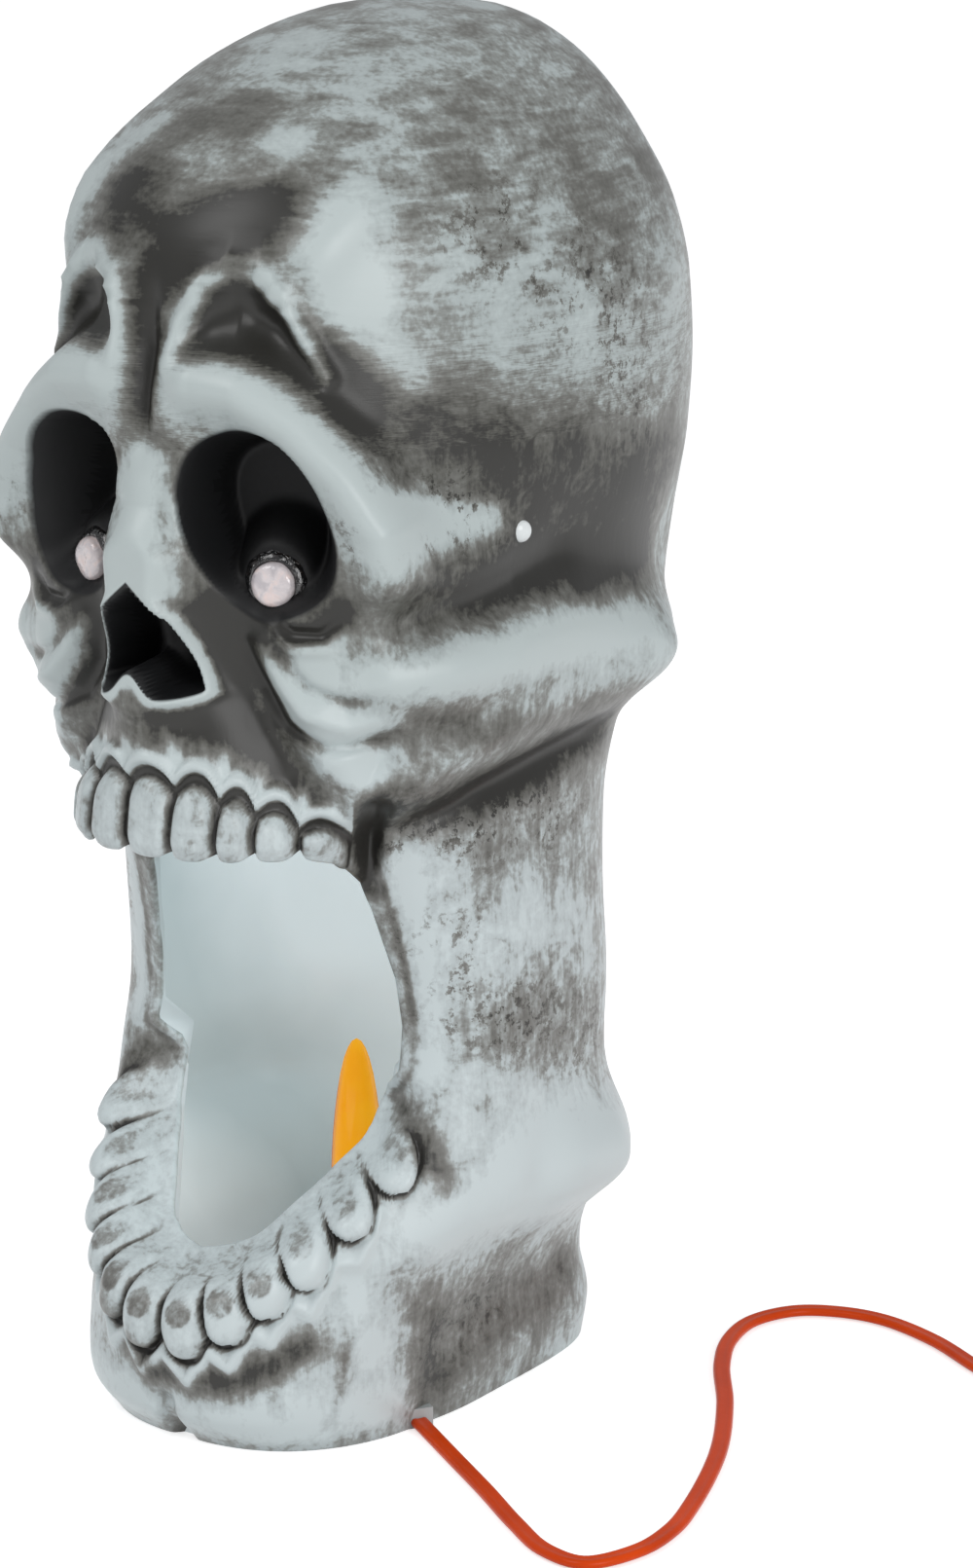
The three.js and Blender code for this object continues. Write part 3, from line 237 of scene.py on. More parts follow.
def coil_points(per_turn=48):
    turns = COIL["inward"] + COIL["outward"]
    turn = np.linspace(0, turns, round(turns * per_turn) + 1)
    radius = COIL["inner"] + np.abs(turn - COIL["inward"]) * COIL["pitch"]
    rise = smooth(COIL["inward"] - COIL["climb"] / 2, COIL["inward"] + COIL["climb"] / 2, turn)
    angle = math.radians(COIL["start"]) + turn * 2 * math.pi
    low = TIE_THICKNESS + CLEARANCE + CORD_THICKNESS / 2
    return np.column_stack([
        COIL["x"] + radius * np.cos(angle), COIL["y"] + radius * np.sin(angle), low + COIL["layer"] * rise,
    ])


def cord_line():
    floor = 2 * CLEARANCE + CORD_THICKNESS / 2
    turns = coil_points()
    entry = turns[0] - turns[1]
    entry = entry / np.linalg.norm(entry)
    start = turns[0] + entry * CORD_WIDTH
    lead = [(x, y, floor) for x, y in CORD_ROUTE]
    lead += [start + entry * (CLEARANCE + CORD_WIDTH), start]
    heading = (turns[-1] - turns[-2]) * [1, 1, 0]
    heading = heading / np.linalg.norm(heading)
    high = PLUG_HEIGHT / 2
    heights = [turns[-1][2], (turns[-1][2] + high) / 2, high, high]
    tail = [turns[-1] + heading * CORD_WIDTH, turns[-1] + heading * (2 * CORD_WIDTH + CLEARANCE)]
    tail += [(x, y, z) for (x, y), z in zip(TAIL_ROUTE, heights)]
    lead, tail = through_points(lead, ROUTE_STEP), through_points(tail, ROUTE_STEP)
    return evenly(np.concatenate([lead[:-1], turns, tail]), CORD_STEP)


# Two round cores side by side, with the groove between them
def cord_section(sides=10):
    core = CORD_THICKNESS / 2
    shift = CORD_WIDTH / 2 - core
    turn = np.linspace(-CORE_SHARE, CORE_SHARE, sides) * math.pi
    right = np.column_stack([shift + core * np.cos(turn), core * np.sin(turn)])
    return np.concatenate([right, -right])


def round_section(radius, sides=12):
    turn = np.arange(sides) / sides * 2 * math.pi
    return np.column_stack([radius * np.cos(turn), radius * np.sin(turn)])


# Flexible PVC, extruded and glossy: a slightly uneven orange, with a fine wave that softens its shine
def orange_pvc(tree):
    place = node(tree, "TexCoord", output="Object")
    grime = node(tree, "TexNoise", {"Vector": place, "Scale": 1 / (30 * MM), "Detail": 4})
    colour = node(tree, "ValToRGB", {"Fac": grime}, stops=[(0.3, "#e44a08"), (0.75, "#c23a06")])
    wave = node(tree, "TexNoise", {"Vector": place, "Scale": 1 / (2.5 * MM), "Detail": 2})
    bump = node(tree, "Bump", {"Height": wave, "Distance": 0.08 * MM, "Strength": 0.3})
    return node(tree, "BsdfPrincipled", {
        "Base Color": colour, "Roughness": 0.3, "IOR": 1.53, "Specular IOR Level": 0.14, "Normal": bump})


CORD_FINISH = material("extruded_orange_pvc", orange_pvc)
cord_path = cord_line()
cord = finish("mains_cord", tube(cord_path, cord_section()), [CORD_FINISH],
              ("cord_lead", "cord_coil", "cord_tail"))

# Skull
HEIGHT, HALF_WIDTH, HALF_DEPTH, WALL, BLEND = 370.0, 73.0, 105.0, 2.6, 4.0
# Sections: [height, half width, middle, front, back, front squareness, back squareness]
SECTION_SHARES = np.array([
    [0, 0.67, -0.19, 0.64, 0.63, 2.5, 5],
    [0.03, 0.7, -0.19, 0.72, 0.63, 2.5, 5],
    [0.075, 0.72, -0.19, 0.735, 0.61, 2.2, 4],
    [0.12, 0.745, -0.19, 0.715, 0.63, 2.05, 3.4],
    [0.16, 0.82, -0.17, 0.63, 0.65, 2.2, 3],
    [0.225, 0.85, -0.143, 0.44, 0.63, 2.8, 2.8],
    [0.285, 0.863, -0.095, 0.36, 0.58, 3.6, 2.8],
    [0.37, 0.85, -0.076, 0.44, 0.57, 3.2, 2.6],
    [0.43, 0.836, -0.038, 0.59, 0.57, 2.8, 2.4],
    [0.48, 0.85, 0, 0.705, 0.62, 2.8, 2.2],
    [0.53, 0.92, 0.028, 0.82, 0.73, 3.2, 2.1],
    [0.58, 0.96, 0.048, 0.886, 0.81, 3.4, 2],
    [0.635, 0.973, 0.048, 0.905, 0.87, 3.2, 2],
    [0.69, 0.993, 0.048, 0.924, 0.93, 2.6, 2],
    [0.745, 1, 0.048, 0.938, 0.952, 2.1, 2],
    [0.8, 0.993, 0.048, 0.933, 0.933, 2, 2],
    [0.85, 0.94, 0.057, 0.905, 0.876, 2.1, 2],
    [0.905, 0.815, 0.086, 0.8, 0.72, 2.2, 2],
    [0.945, 0.66, 0.124, 0.65, 0.57, 2.2, 2],
    [0.973, 0.5, 0.155, 0.475, 0.41, 2.1, 2],
    [0.992, 0.29, 0.18, 0.26, 0.23, 2, 2],
    [1, 0.0002, 0.19, 0.0002, 0.0002, 2, 2],
])
# The tooth arch of the upper jaw: [height, half width, front]
ARCH_SHARES = np.array([
    [0.4, 0.575, 0.93], [0.446, 0.6, 0.945], [0.48, 0.615, 0.945],
    [0.52, 0.6, 0.94], [0.56, 0.55, 0.92], [0.6, 0.41, 0.86],
])
ARCH = dict(power=2.5, lower_share=0.025, upper_share=0.05)
# Edge of the mouth: [degrees from the front, height share]
MOUTH_TOP = [(0, 0.442), (15, 0.44), (25, 0.436), (32, 0.427), (37, 0.405)]
MOUTH_SIDE = [(37, 0.405), (42, 0.372), (47.5, 0.332), (50, 0.297), (50, 0.262), (49.5, 0.242)]
MOUTH_FOOT = [(49.5, 0.242), (45, 0.218), (35, 0.195), (24, 0.171), (12, 0.145), (0, 0.136)]

# Ridges and grooves, the same on both sides: width, height, darkness of the wash,
# [degrees, height share, strength]
LINES = dict(
    brow=(10, 14, -1.1, [(5, 0.752, 0.3), (9, 0.765, 0.6), (16, 0.762, 0.8), (24, 0.74, 0.9),
                         (31, 0.708, 1), (36, 0.672, 1.1), (37, 0.64, 0.8)]),
    brow_top=(6, -4, 0.7, [(8, 0.79, 0.4), (16, 0.795, 1), (24, 0.772, 1), (32, 0.735, 0.8),
                           (38, 0.71, 0.6)]),
    arch=(2.5, 3.8, -1.9, [(4.5, 0.775, 0.4), (6, 0.803, 1), (8.5, 0.826, 1), (12.5, 0.839, 1),
                           (16.8, 0.838, 1), (20.5, 0.82, 1), (24, 0.793, 1), (27.5, 0.768, 0.7)]),
    arch_hollow=(6, -4, 0.75, [(9.5, 0.802, 0.6), (14, 0.818, 1), (18.5, 0.802, 0.9)]),
    glabella=(3, -3.5, 0.7, [(0, 0.82, 0.3), (0, 0.785, 1), (0, 0.745, 1), (0, 0.72, 0.2)]),
    temple_ridge=(7, 3, -0.4, [(20, 0.822, 0.5), (26, 0.85, 1), (32, 0.884, 1), (36, 0.915, 0.3)]),
    temple_upper=(13, -4.5, 0.3, [(42, 0.695, 0.8), (52, 0.675, 1), (64, 0.655, 1), (78, 0.64, 0.9),
                                  (96, 0.622, 0.8), (122, 0.608, 0.6)]),
    temple_lower=(7, -5, 0.4, [(40, 0.605, 0.8), (50, 0.607, 1), (62, 0.615, 1), (74, 0.625, 0.5)]),
    cheek=(11, 11, -0.4, [(20, 0.562, 0.2), (24, 0.532, 0.5), (29, 0.5, 0.9), (34, 0.48, 1.05),
                          (42, 0.488, 0.95), (52, 0.504, 0.8), (64, 0.518, 0.6), (80, 0.523, 0.4),
                          (95, 0.525, 0.4), (112, 0.53, 0.5)]),
    zygoma=(12, 8, -0.5, [(30, 0.558, 0.4), (38, 0.56, 0.9), (47, 0.565, 1), (60, 0.57, 0.9), (76, 0.57, 0.6),
                          (92, 0.562, 0.5), (110, 0.55, 0.8), (124, 0.545, 0.7)]),
    under_cheek=(5, -5, 0.9, [(37, 0.44, 0.6), (46, 0.452, 1), (60, 0.468, 1), (80, 0.48, 0.8),
                              (102, 0.49, 0.6)]),
    cheek_groove=(2.0, -2.6, 1.5, [(14.5, 0.585, 0.4), (17.5, 0.556, 0.9), (21.5, 0.532, 1), (28, 0.518, 1),
                                   (35, 0.52, 0.8), (40, 0.53, 0)]),
    cheek_fold=(2.6, 2.2, -1.2, [(17, 0.588, 0.4), (20.5, 0.563, 1), (25, 0.543, 1), (31, 0.533, 1),
                                 (38, 0.537, 0.4)]),
    under_fold=(1.8, -1.8, 1.1, [(21, 0.58, 0.3), (25, 0.561, 1), (31, 0.551, 1), (37, 0.556, 0.3)]),
    eye_groove=(1.8, -2, 1.3, [(19.5, 0.608, 0.3), (22.5, 0.597, 1), (26.8, 0.597, 1), (29.5, 0.607, 0.4)]),
    eye_fold=(1.8, 1.6, -0.7, [(19, 0.598, 0.3), (23, 0.587, 1), (28, 0.588, 0.8), (31, 0.597, 0.3)]),
    nose=(12, 14, -0.3, [(0, 0.725, 0.15), (0, 0.68, 0.55), (0, 0.64, 1.3), (0, 0.6, 1.3), (0, 0.56, 1.1),
                         (0, 0.53, 0.5)]),
    nose_side=(8, -4, 0.8, [(14, 0.6, 0.6), (16, 0.56, 1), (18, 0.53, 1), (22, 0.5, 0.7)]),
    neck_groove=(3.4, -5, 1.7, [(36.6, 0.47, 1), (36.6, 0.443, 1), (38, 0.405, 0.8)]),
    neck_column=(1.8, 1.5, -0.6, [(39.6, 0.46, 0.6), (39.8, 0.44, 1), (41, 0.405, 0.8)]),
    jaw_angle=(17, 13, -0.4, [(88, 0.185, 0.4), (102, 0.172, 0.9), (118, 0.165, 1), (132, 0.165, 0.7)]),
    jaw_border=(10, 3, -0.4, [(28, 0.055, 0.3), (40, 0.085, 0.7), (54, 0.135, 1), (66, 0.165, 1),
                              (82, 0.165, 0.6)]),
    skirt=(11, -3, 0.3, [(64, 0.03, 0.8), (78, 0.07, 1), (98, 0.08, 1), (122, 0.075, 1)]),
    chin_cleft=(2.6, -5, 0.9, [(0, 0, 1), (0.5, 0.035, 0.6)]),
)
# The painter's strokes, and a painted highlight: width, darkness below zero for wiped or bare places and
# for the highlight, on both sides or one, [degrees, millimetres above the foot]
STROKES = [
    (10, 0.9, False, [(-10.5, 325.5), (-0.8, 319), (8.2, 321), (16.2, 325), (22.8, 331)]),
    (8, 0.75, False, [(5.2, 311), (13.2, 313.5)]),
    (5, 0.8, True, [(0.5, 306), (0.8, 293.5), (0.5, 277)]),
    (6.5, 0.95, True, [(10.8, 298), (19.5, 298), (26.5, 289.5), (32.5, 278.5)]),
    (11, 0.8, True, [(34, 281), (45.2, 271), (63, 263), (94, 254), (120, 252)]),
    (11, 0.65, True, [(59.2, 251), (68, 243), (84, 240), (110, 240)]),
    (8, 0.95, True, [(36.8, 234.5), (50.2, 230.5), (66, 231), (82.8, 226), (112.2, 229)]),
    (13, 0.25, True, [(45.2, 331), (64, 341), (87.2, 327.5)]),
    (12, -0.3, True, [(48, 312), (58, 300), (72, 290), (92, 282)]),
    (12, 0.3, True, [(120, 330), (140, 300), (160, 320)]),
    (13, 0.35, True, [(135, 255), (160, 235), (180, 245)]),
    (10, 0.45, False, [(-13, 336.5), (1, 344)]),
    (5, 0.9, True, [(12, 226), (16, 221), (23, 219.5), (29.8, 227)]),
    (5.2, 1.0, True, [(10, 224), (10.5, 214), (11, 206), (12.5, 198), (16, 190), (21, 183.5), (26, 178)]),
    (6, 1.0, True, [(0, 195.5), (5, 196), (10, 196)]),
    (3, 0.4, True, [(19, 205), (22.5, 197), (27, 188), (31, 181)]),
    (5, -0.7, True, [(20, 206), (25, 198), (30, 190), (35, 185)]),
    (5, 0.55, True, [(8, 240), (10.5, 232), (11, 224)]),
    (4, 0.5, True, [(3, 268), (7, 262), (9.5, 254)]),
    (9, 0.7, True, [(36.8, 179), (53.8, 177), (84, 177), (106.2, 180), (140, 182)]),
    (6, 0.6, True, [(44, 198), (58, 192), (80, 190), (104, 190)]),
    (4, 0.15, True, [(43, 147), (44.8, 141.5), (52, 125.5), (53, 108)]),
    (1.2, 0.6, True, [(41, 150), (46.5, 134), (51.5, 115), (52, 98), (51, 90)]),
    (4.5, 0.9, True, [(53, 88), (56.5, 78), (62, 70)]),
    (8, 0.3, True, [(68, 11), (89.5, 17), (114.8, 20.5), (131.8, 22)]),
    (12, 0.1, True, [(60, 150), (80, 156), (96, 158)]),
    (12, 0.15, True, [(60, 120), (88, 110), (108, 98)]),
    (12, -0.5, True, [(47, 156), (56, 138), (62, 124)]),
    (11, -0.4, True, [(80, 134), (104, 130)]),
    (15, -0.35, True, [(50, 58), (70, 58), (90, 66), (112, 62)]),
    (12, -0.4, True, [(62, 90), (84, 84), (104, 78)]),
    (5, 0.75, False, [(-14, 41), (-10, 32), (-4, 24)]),
    (4.6, 1.05, False, [(-3, 23), (1.5, 22.5), (8, 20), (14.2, 21), (20, 25), (25.8, 28), (31, 31)]),
    (5, 0.5, True, [(40, 33), (46, 40), (56, 50)]),
    (2.4, 0.55, False, [(34.5, 8), (37, 16), (38.5, 27)]),
    (5, -1.3, True, [(38, 250), (44.5, 247.5), (52, 246), (56, 246)]),
    (5.5, -0.7, True, [(7, 281), (12, 283.5), (18, 281), (25, 273), (31, 262), (36, 249), (37.5, 239)]),
    (4, 0.6, True, [(8, 291), (17, 291), (25, 283), (32, 272), (38, 259)]),
    (7, 0.5, True, [(58, 40), (66, 30), (60, 14)]),
    (12, 0.3, True, [(8, 345), (20, 330), (14, 315)]),
    (10, 0.35, True, [(30, 232), (36, 222), (44, 200)]),
    (9, -0.9, True, [(17.5, 338.5), (28.8, 321), (31, 305)]),
    (7, -0.8, True, [(31, 305), (37, 289), (41, 284)]),
    (6, -1.2, True, [(25.5, 213), (27, 204), (29, 195), (33, 186)]),
    (6, -1.0, True, [(36, 209), (44, 211), (52, 212.5), (78.2, 212.5), (100, 210)]),
    (16, -0.2, False, [(0, 357), (27.5, 363.5)]),
    (8, -0.9, True, [(0, 11), (14, 10), (27.8, 10.5), (50, 11.5)]),
    (4, -0.9, False, [(24, 41), (29, 45), (34, 52), (40.2, 50)]),
    # A painted highlight: the lights' reflection running down the side of the chin
    (5, -0.7, True, [(42, 42), (46, 27)]),
    (12, -0.55, True, [(70, 62), (89.5, 68.5), (120.8, 62.5)]),
    (5, -1.0, True, [(0, 262), (0, 250), (1, 240), (3, 232)]),
    (3.6, -0.7, True, [(44, 160), (47, 150), (50.5, 136), (55, 116), (56, 100)]),
]
# Sponged places, with their speckle's strength
SPONGED = [
    (17, 0.6, True, [(60, 318), (74, 306), (92, 292), (100, 270)]),
    (10, 0.8, True, [(36, 250), (46, 248), (56, 246)]),
    (10, 0.7, True, [(44, 165), (63.8, 164), (94.2, 160)]),
    (12, 0.6, True, [(60, 118), (74, 112), (98, 104), (112, 97)]),
    (9, 0.4, True, [(52, 138), (70, 135)]),
    (9, 0.5, True, [(66, 22), (92, 30)]),
]
SOCKET = dict(angle=16.9, z=247.5, long=25.0, short=17.8, lean=22.0, power=2.5, depth=21.0, slope=5.0,
              floor_angle=18.6, floor_turn=1.2, floor_z=246.0, lamp_z=232.0, lamp_sink=0.5, seat_rise=13.0,
              seat_flat=8.5, seat_reach=20.0)
NOSE = dict(top=233.0, bottom=203.0, top_half=4.0, lobe_half=16.5, flare=0.7, corner=2.0, depth=18.0,
            slope=4.5, rim=2.4, rim_width=1.9, spine_half=4.0, spine_rise=6.0, beside=4.5, beside_width=2.6,
            beside_top=4)
# The black spray sets in between these distances inside an edge. Below zero is outside it.
SOCKET_SPRAY = (-2.6, 3.4)
NOSE_SPRAY = (-1.8, 2.4)
# Teeth. The upper row's middle is a little to one side, as on the real one.
UPPER = dict(shift=1.5, relief=4.5, power=5.0, bottom=160.5, least=3.0, scallop=2.2, shoulder=4.5,
             gum=2.6, gum_width=1.8, gum_gap=4.8, gum_fade=4, edge=1.8, edge_width=2.2, edge_fade=3)
# The upper teeth's wash: how dark it is in the groove, on the crown, on the gum and on the pale wedges
# above the gaps, and where each part of it lies
UPPER_WASH = dict(groove=1.25, crown=0.4, gum=1.5, wedge=0.9, line=(-1.2, 0.8), band=2.2, band_fade=1.6,
                  gap=0.72, gap_low=-0.2, wedge_up=9, wedge_height=4.5, wedge_side=(0.55, 0.95))
UPPER_EDGES = [0, 7.5, 14, 19, 25.4, 34.5]
UPPER_TOPS = [(0, 184), (10, 182), (16.5, 178), (22, 174), (30, 168.5), (36, 166)]
LOWER = dict(relief=5.4, half=7.2, point=0.66, waist=0.55, tall=1.5, power=2.8, bulge=0.6, near=12, fall=4,
             worn_from=10.0, worn_to=17.0, open_from=0.7, between=0.38, between_share=0.8,
             around=1.5, around_level=0.3, around_width=0.4, roll_in=12.0, roll_width=5.5,
             gum=2.0, gum_width=2.0, gum_drop=6.0, gum_rise=0.5)
# The lower teeth's wash on worn spots, crowns, grooves, the gum and the mouth's lower rim
LOWER_WASH = dict(worn=0.75, crown=0.6, groove=2.2, gum=1.6, rim=0.4)
# [degrees and height of the worn spot, degrees and height of the tooth's lower end]
LOWER_TEETH = [
    (-48, 79, -50, 69), (-37, 68.5, -40.5, 58.5), (-28.5, 59.5, -31, 47), (-20.5, 51, -22, 39.5),
    (-12, 44.5, -13, 32), (-3.2, 40.5, -3.8, 27.5), (6.2, 40.5, 6.8, 27), (14.2, 44, 15.5, 32),
    (21.2, 49.5, 23.2, 39), (28.2, 58.5, 31.5, 46), (37, 68, 41, 58.5), (48, 79, 50, 69),
]


# A smooth curve through rows, which never overshoots them
def through(rows, column, at):
    rows = np.asarray(rows, float)
    x, y = rows[:, 0], rows[:, column]
    at = np.clip(np.asarray(at, float), x[0], x[-1])
    step = np.diff(x)
    slope = np.diff(y) / step
    before, after = slope[:-1], slope[1:]
    total = np.where(before + after == 0, 1, before + after)
    inner = np.where(before * after > 0, 2 * before * after / total, 0)
    tangent = np.concatenate([slope[:1], inner, slope[-1:]])
    i = np.clip(np.searchsorted(x, at, side="right") - 1, 0, len(x) - 2)
    t = (at - x[i]) / step[i]
    start = y[i] * (1 + 2 * t) * (1 - t) ** 2 + tangent[i] * step[i] * t * (1 - t) ** 2
    return start + y[i + 1] * t * t * (3 - 2 * t) + tangent[i + 1] * step[i] * t * t * (t - 1)


def blended_max(a, b):
    t = np.clip(0.5 + (a - b) / (2 * BLEND), 0, 1)
    return b + (a - b) * t + BLEND * t * (1 - t)


def oval(side, front, half, reach, power):
    return (np.abs(side / half) ** power + np.abs(front / reach) ** power) ** (-1 / power)


def middle(z):
    return through(SECTION_SHARES, 2, z / HEIGHT) * HALF_DEPTH


def plain_radius(angle, z):
    share = z / HEIGHT
    front = np.cos(angle) > 0
    half = through(SECTION_SHARES, 1, share) * HALF_WIDTH
    reach = np.where(front, through(SECTION_SHARES, 3, share), through(SECTION_SHARES, 4, share)) * HALF_DEPTH
    power = np.where(front, through(SECTION_SHARES, 5, share), through(SECTION_SHARES, 6, share))
    radius = oval(np.sin(angle), np.cos(angle), half, reach, power)
    low, high = ARCH_SHARES[0][0], ARCH_SHARES[-1][0]
    arch_half = through(ARCH_SHARES, 1, share) * HALF_WIDTH
    arch_reach = through(ARCH_SHARES, 2, share) * HALF_DEPTH
    arch = oval(np.sin(angle), np.maximum(np.cos(angle), TINY), arch_half, arch_reach, ARCH["power"])
    fade = smooth(low, low + ARCH["lower_share"], share)
    fade = fade * (1 - smooth(high - ARCH["upper_share"], high, share))
    on = front & (share >= low) & (share <= high)
    return np.where(on, radius + (blended_max(radius, arch) - radius) * fade, radius)


def at_radius(radius, angle, z):
    return np.stack([radius * np.sin(angle), middle(z) - radius * np.cos(angle), z], -1)


def on_plain(angle, z, out=0.0):
    angle, z = np.broadcast_arrays(np.asarray(angle, float), np.asarray(z, float))
    return at_radius(plain_radius(angle, z) + out, angle, z)


def line_on_skull(rows):
    rows = np.asarray(rows, float)
    return on_plain(np.radians(rows[:, 0]), rows[:, 1] * HEIGHT), rows[:, 2]


# Height of a rounded ridge along a line, at points of the plain skull
def ridge(line, width, at):
    points, strength = line
    best = np.zeros(at.shape[:-1])
    for i in range(len(points) - 1):
        along = points[i + 1] - points[i]
        t = np.clip(((at - points[i]) @ along) / (along @ along), 0, 1)
        square = ((at - points[i] - t[..., None] * along) ** 2).sum(-1)
        height = strength[i] + (strength[i + 1] - strength[i]) * t
        best = np.maximum(best, height * np.exp(-square / width ** 2))
    return best


# The sum of a list of strokes
def strokes(rows, at, mirrored_at):
    total = np.zeros(at.shape[:-1])
    for width, darkness, both, points in rows:
        line = line_on_skull([(degrees, z / HEIGHT, 1) for degrees, z in points])
        total += darkness * ridge(line, width, mirrored_at if both else at)
    return total


# How far inside the edge of a socket a place is
def inside_socket(at):
    turn = math.radians(SOCKET["lean"])
    centre = on_plain(math.radians(SOCKET["angle"]), SOCKET["z"])
    dx, dz = at[..., 0] - centre[0], at[..., 2] - centre[2]
    along = math.cos(turn) * dz - math.sin(turn) * dx
    across = math.cos(turn) * dx + math.sin(turn) * dz
    power = SOCKET["power"]
    reach = np.abs(along / SOCKET["long"]) ** power + np.abs(across / SOCKET["short"]) ** power
    return (1 - reach ** (1 / power)) * SOCKET["short"]


# How far inside the edge of the nose a place is
def inside_nose(at):
    rise = np.clip((NOSE["top"] - at[..., 2]) / (NOSE["top"] - NOSE["bottom"]), 0, 1)
    half = NOSE["top_half"] + (NOSE["lobe_half"] - NOSE["top_half"]) * rise ** NOSE["flare"]
    floor = NOSE["bottom"] + NOSE["spine_rise"] * np.exp(-(at[..., 0] / NOSE["spine_half"]) ** 2)
    corner = NOSE["corner"] * np.maximum(at[..., 0] / half, 0) ** 4
    sides = np.minimum(half - at[..., 0], NOSE["top"] - at[..., 2] - at[..., 0])
    return np.minimum(sides, at[..., 2] - floor - corner)


# Where on its upper tooth a place is, from 0 to 1 across it
def upper_share(degrees):
    edges = np.asarray(UPPER_EDGES, float)
    turned_by = np.abs(degrees + UPPER["shift"])
    i = np.clip(np.searchsorted(edges, turned_by, side="right") - 1, 0, len(edges) - 2)
    return (turned_by - edges[i]) / (edges[i + 1] - edges[i]), turned_by < edges[-1]


def swell(across, up):
    sides = np.maximum(1 - np.abs(2 * across - 1) ** UPPER["power"], 0)
    return sides * np.maximum(1 - np.abs(2 * up - 1) ** 4, 0)


def mouth_top(degrees):
    share, on = upper_share(degrees)
    fade = smooth(0, UPPER["edge_fade"], UPPER_EDGES[-1] - np.abs(degrees + UPPER["shift"]))
    scallop = UPPER["scallop"] * np.abs(2 * share - 1) ** 2.5 * fade
    return through(MOUTH_TOP, 1, np.abs(degrees)) * HEIGHT + np.where(on, scallop, 0)


# Relief and wash of the upper teeth
def upper_teeth(degrees, z):
    share, on = upper_share(degrees)
    side = np.abs(2 * share - 1)
    rim = mouth_top(degrees)
    bottom = np.minimum(rim - UPPER["least"], UPPER["bottom"])
    top = through(UPPER_TOPS, 1, np.abs(degrees + UPPER["shift"])) - UPPER["shoulder"] * side ** 2
    up = (z - bottom) / (top - bottom)
    crown = np.where((up > 0) & (up < 1), swell(share, np.clip(up, 0, 1)), 0)
    gum = np.exp(-((z - top - UPPER["gum_gap"]) / UPPER["gum_width"]) ** 2)
    edge = np.exp(-((z - rim) / UPPER["edge_width"]) ** 2)
    fade = smooth(0, UPPER["gum_fade"], UPPER_EDGES[-1] - np.abs(degrees + UPPER["shift"]))
    relief = UPPER["relief"] * crown + (UPPER["gum"] * gum - UPPER["edge"] * edge) * fade

    paint = UPPER_WASH
    above = smooth(*paint["line"], z - top)
    above = above * (1 - smooth(paint["band"], paint["band"] + paint["band_fade"], z - top))
    gap = np.where((up > paint["gap_low"]) & (up < 1.0), smooth(paint["gap"], 1.0, side), 0)
    wedge = np.exp(-((z - top - paint["wedge_up"]) / paint["wedge_height"]) ** 2)
    wedge = wedge * smooth(*paint["wedge_side"], side)
    wash = paint["groove"] * np.maximum(above, gap) - paint["crown"] * crown
    wash = wash - paint["gum"] * gum - paint["wedge"] * wedge
    return np.where(on, relief, 0), np.where(on, wash, 0)


# A lower tooth's level is 1 at its middle, 0 at its edge and less beyond. The groove between two teeth
# sets in as the second one's level rises, and the one round a tooth lies below a level.
FAR_LEVEL = -9.0
SECOND_LEVELS = (-1.4, -0.5)
AROUND_BELOW = 0.1


# Relief and wash of the lower teeth, each a block that narrows a little to its lower end
def lower_teeth(at):
    best, second = np.full(at.shape[:-1], FAR_LEVEL), np.full(at.shape[:-1], FAR_LEVEL)
    best_up, worn, points = np.zeros(at.shape[:-1]), np.zeros(at.shape[:-1]), []
    for crown_degrees, crown_z, point_degrees, point_z in LOWER_TEETH:
        crown, point = on_plain(np.radians([crown_degrees, point_degrees]), np.array([crown_z, point_z]))
        out = np.array([math.sin(math.radians(crown_degrees)), -math.cos(math.radians(crown_degrees)), 0])
        axis = crown - point
        length = np.linalg.norm(axis)
        axis /= length
        side = np.cross(axis, out)
        side /= np.linalg.norm(side)
        from_point = at - point
        up = from_point @ axis / (length * LOWER["tall"])
        half = LOWER["half"] * (LOWER["point"] + (1 - LOWER["point"]) * smooth(0, LOWER["waist"], up))
        away = np.maximum(np.abs(from_point @ out) - LOWER["near"], 0) / LOWER["fall"]
        level = 1 - np.abs(from_point @ side / half) ** LOWER["power"] - np.abs(2 * up - 1) ** 4 - away
        nearer = level > best
        second = np.where(nearer, best, np.maximum(second, level))
        best_up = np.where(nearer, up, best_up)
        best = np.maximum(best, level)
        worn = np.maximum(worn, 1 - smooth(LOWER["worn_from"], LOWER["worn_to"], ((at - crown) ** 2).sum(-1)))
        points.append(point)
    shape = np.clip(best, 0, 1) ** LOWER["bulge"]
    low_down = 1 - smooth(LOWER["open_from"], 1.0, best_up)
    between = np.exp(-((best - second) / LOWER["between"]) ** 2) * smooth(*SECOND_LEVELS, second) * low_down
    around = np.exp(-((best + LOWER["around_level"]) / LOWER["around_width"]) ** 2) * low_down
    around = around * (best < AROUND_BELOW)
    gum_line = []
    for point, following in zip(points, points[1:]):
        gum_line += [point - [0, 0, LOWER["gum_drop"]], (point + following) / 2 + [0, 0, LOWER["gum_rise"]]]
    gum = ridge((np.array(gum_line), np.ones(len(gum_line))), LOWER["gum_width"], at) * (best < 0)
    relief = LOWER["relief"] * shape * (1 - LOWER["between_share"] * between)
    relief = relief - LOWER["around"] * around + LOWER["gum"] * gum
    wash = LOWER_WASH["worn"] * worn - LOWER_WASH["crown"] * shape
    wash = wash + LOWER_WASH["groove"] * np.maximum(between, around) - LOWER_WASH["gum"] * gum
    return relief, wash


FOOT_LINE = line_on_skull([(degrees, share, 1) for degrees, share in MOUTH_FOOT])
BUILT = [(line_on_skull(rows), width, height, dark) for width, height, dark, rows in LINES.values()]
FOOT_FADE = 6.5
# The wash in a groove is wider than the groove
WASH_SPREAD = 1.25
# The back of the head is cleaner: how much, and the degrees over which it sets in
CLEANER_BACK = dict(wash=0.22, front=95, back=150)
